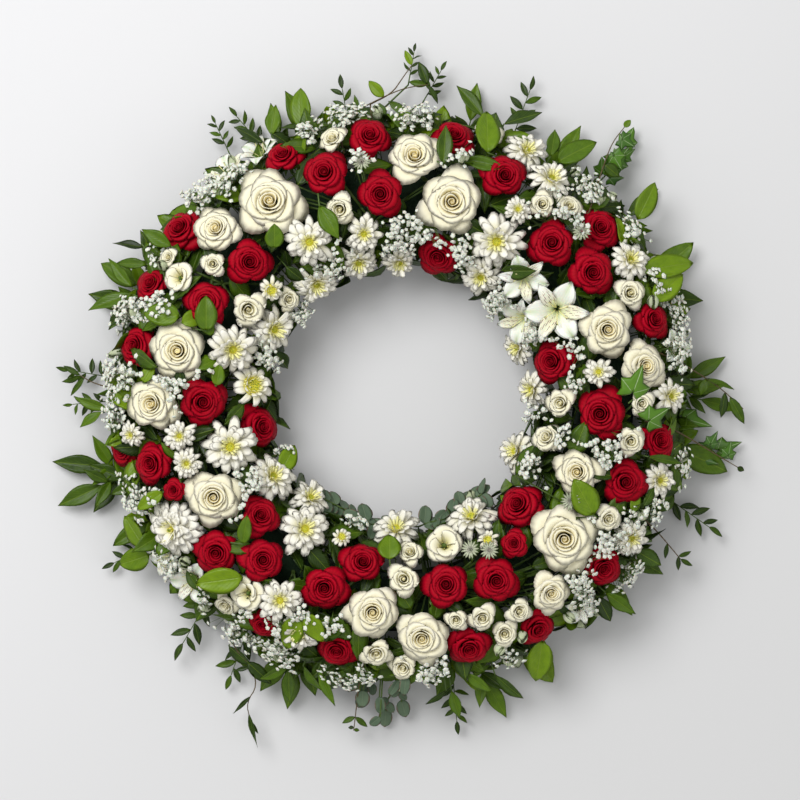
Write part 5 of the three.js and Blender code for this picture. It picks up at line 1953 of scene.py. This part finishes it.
# %% Foam and tray
for node, finish in (("foam_ring", FOAM), ("tray", TRAY)):
    kept = frame["nodes"][node]
    kept.data.materials.clear()
    kept.data.materials.append(finish)
    print(node, "wears", finish.name)

# %% [markdown]
# The photograph's wall is pale and a little darker towards the lower right. Lights alone could do
# that, but then the flowers would darken too, so that fall of the light is painted into the floor as a
# faint slope. The floor isn't part of the wreath.

# %% Floor
def floor_with_painted_falloff():
    """Pale paint with painted light: a little darker towards the lower right, away from the window."""
    recipe = Recipe("studio_floor_painted_falloff")
    mottle = recipe.noise(1.5, 3.0)
    where = recipe.node("ShaderNodeTexCoord", out=3)
    right = recipe.node("ShaderNodeSeparateXYZ", {}, {0: where}, out=0)
    upward = recipe.node("ShaderNodeSeparateXYZ", {}, {0: where}, out=1)
    # Painted light: the floor is painted darker towards the lower right, as the window light falls off.
    body = recipe.mix((right - upward).step(-0.9, 0.9), (0.73, 0.73, 0.74), (0.64, 0.64, 0.64))
    body = recipe.mix(mottle * 0.1, body, (0.66, 0.66, 0.66))
    return recipe.finish(Base_Color=body, Roughness=0.8 + mottle * 0.1)


floor_mesh = bpy.data.meshes.new("floor")
floor_mesh.from_pydata([(-6, -6, 0), (6, -6, 0), (6, 6, 0), (-6, 6, 0)], [], [(0, 1, 2, 3)])
floor_mesh.materials.append(floor_with_painted_falloff())
floor = bpy.data.objects.new("floor", floor_mesh)
bpy.context.scene.collection.objects.link(floor)
print("floor painted with", floor_mesh.materials[0].name)

# %% [markdown]
# The shadows in the photograph are soft and fall to the lower right. One big window light stands
# high at the upper left, a weak one fills the far side, and an even pale sky does the rest.

# %% Lights
FACE_HEIGHT = 0.11
AIM = Vector((RING_CENTRE[0] * MM, (RING_CENTRE[1] - 3.0) * MM, FACE_HEIGHT))
SKY_STRENGTH = 0.53


def soft_light(name, place, size, power):
    """A round soft light that looks at the wreath."""
    lamp = bpy.data.lights.new(name, "AREA")
    lamp.shape = "DISK"
    lamp.size = size
    lamp.energy = power
    stand = bpy.data.objects.new(name, lamp)
    stand.location = place
    stand.rotation_euler = (AIM - Vector(place)).to_track_quat("-Z", "Y").to_euler()
    bpy.context.scene.collection.objects.link(stand)
    return stand


soft_light("window", place=(-1.4, 1.4, 3.2), size=2.4, power=106.0)
soft_light("fill", place=(2.5, -1.5, 3.0), size=2.5, power=15.0)
bpy.context.scene.view_settings.view_transform = "Standard"
sky = bpy.data.worlds.new("sky")
sky.use_nodes = True
sky.node_tree.nodes["Background"].inputs["Color"].default_value = (1.0, 1.0, 1.0, 1.0)
sky.node_tree.nodes["Background"].inputs["Strength"].default_value = SKY_STRENGTH
bpy.context.scene.world = sky
print("lights aim at, mm:", [round(value / MM, 1) for value in AIM])

# %% [markdown]
# The camera looks straight down with a long lens, as in the photograph, where the outer heads show
# hardly any perspective. The lens is worked out from the width of the view at the flowers' faces.

# %% Camera
VIEW_WIDTH = 0.8
CAMERA_HEIGHT = 6.0
SENSOR = 36.0

eye = bpy.data.cameras.new("camera")
eye.sensor_width = SENSOR
eye.lens = SENSOR * (CAMERA_HEIGHT - FACE_HEIGHT) / VIEW_WIDTH
eye.clip_end = 50.0
camera = bpy.data.objects.new("camera", eye)
camera.location = (AIM.x, AIM.y, CAMERA_HEIGHT)
bpy.context.scene.collection.objects.link(camera)
bpy.context.scene.camera = camera
print("lens, mm:", round(eye.lens, 1))

# %% [markdown]
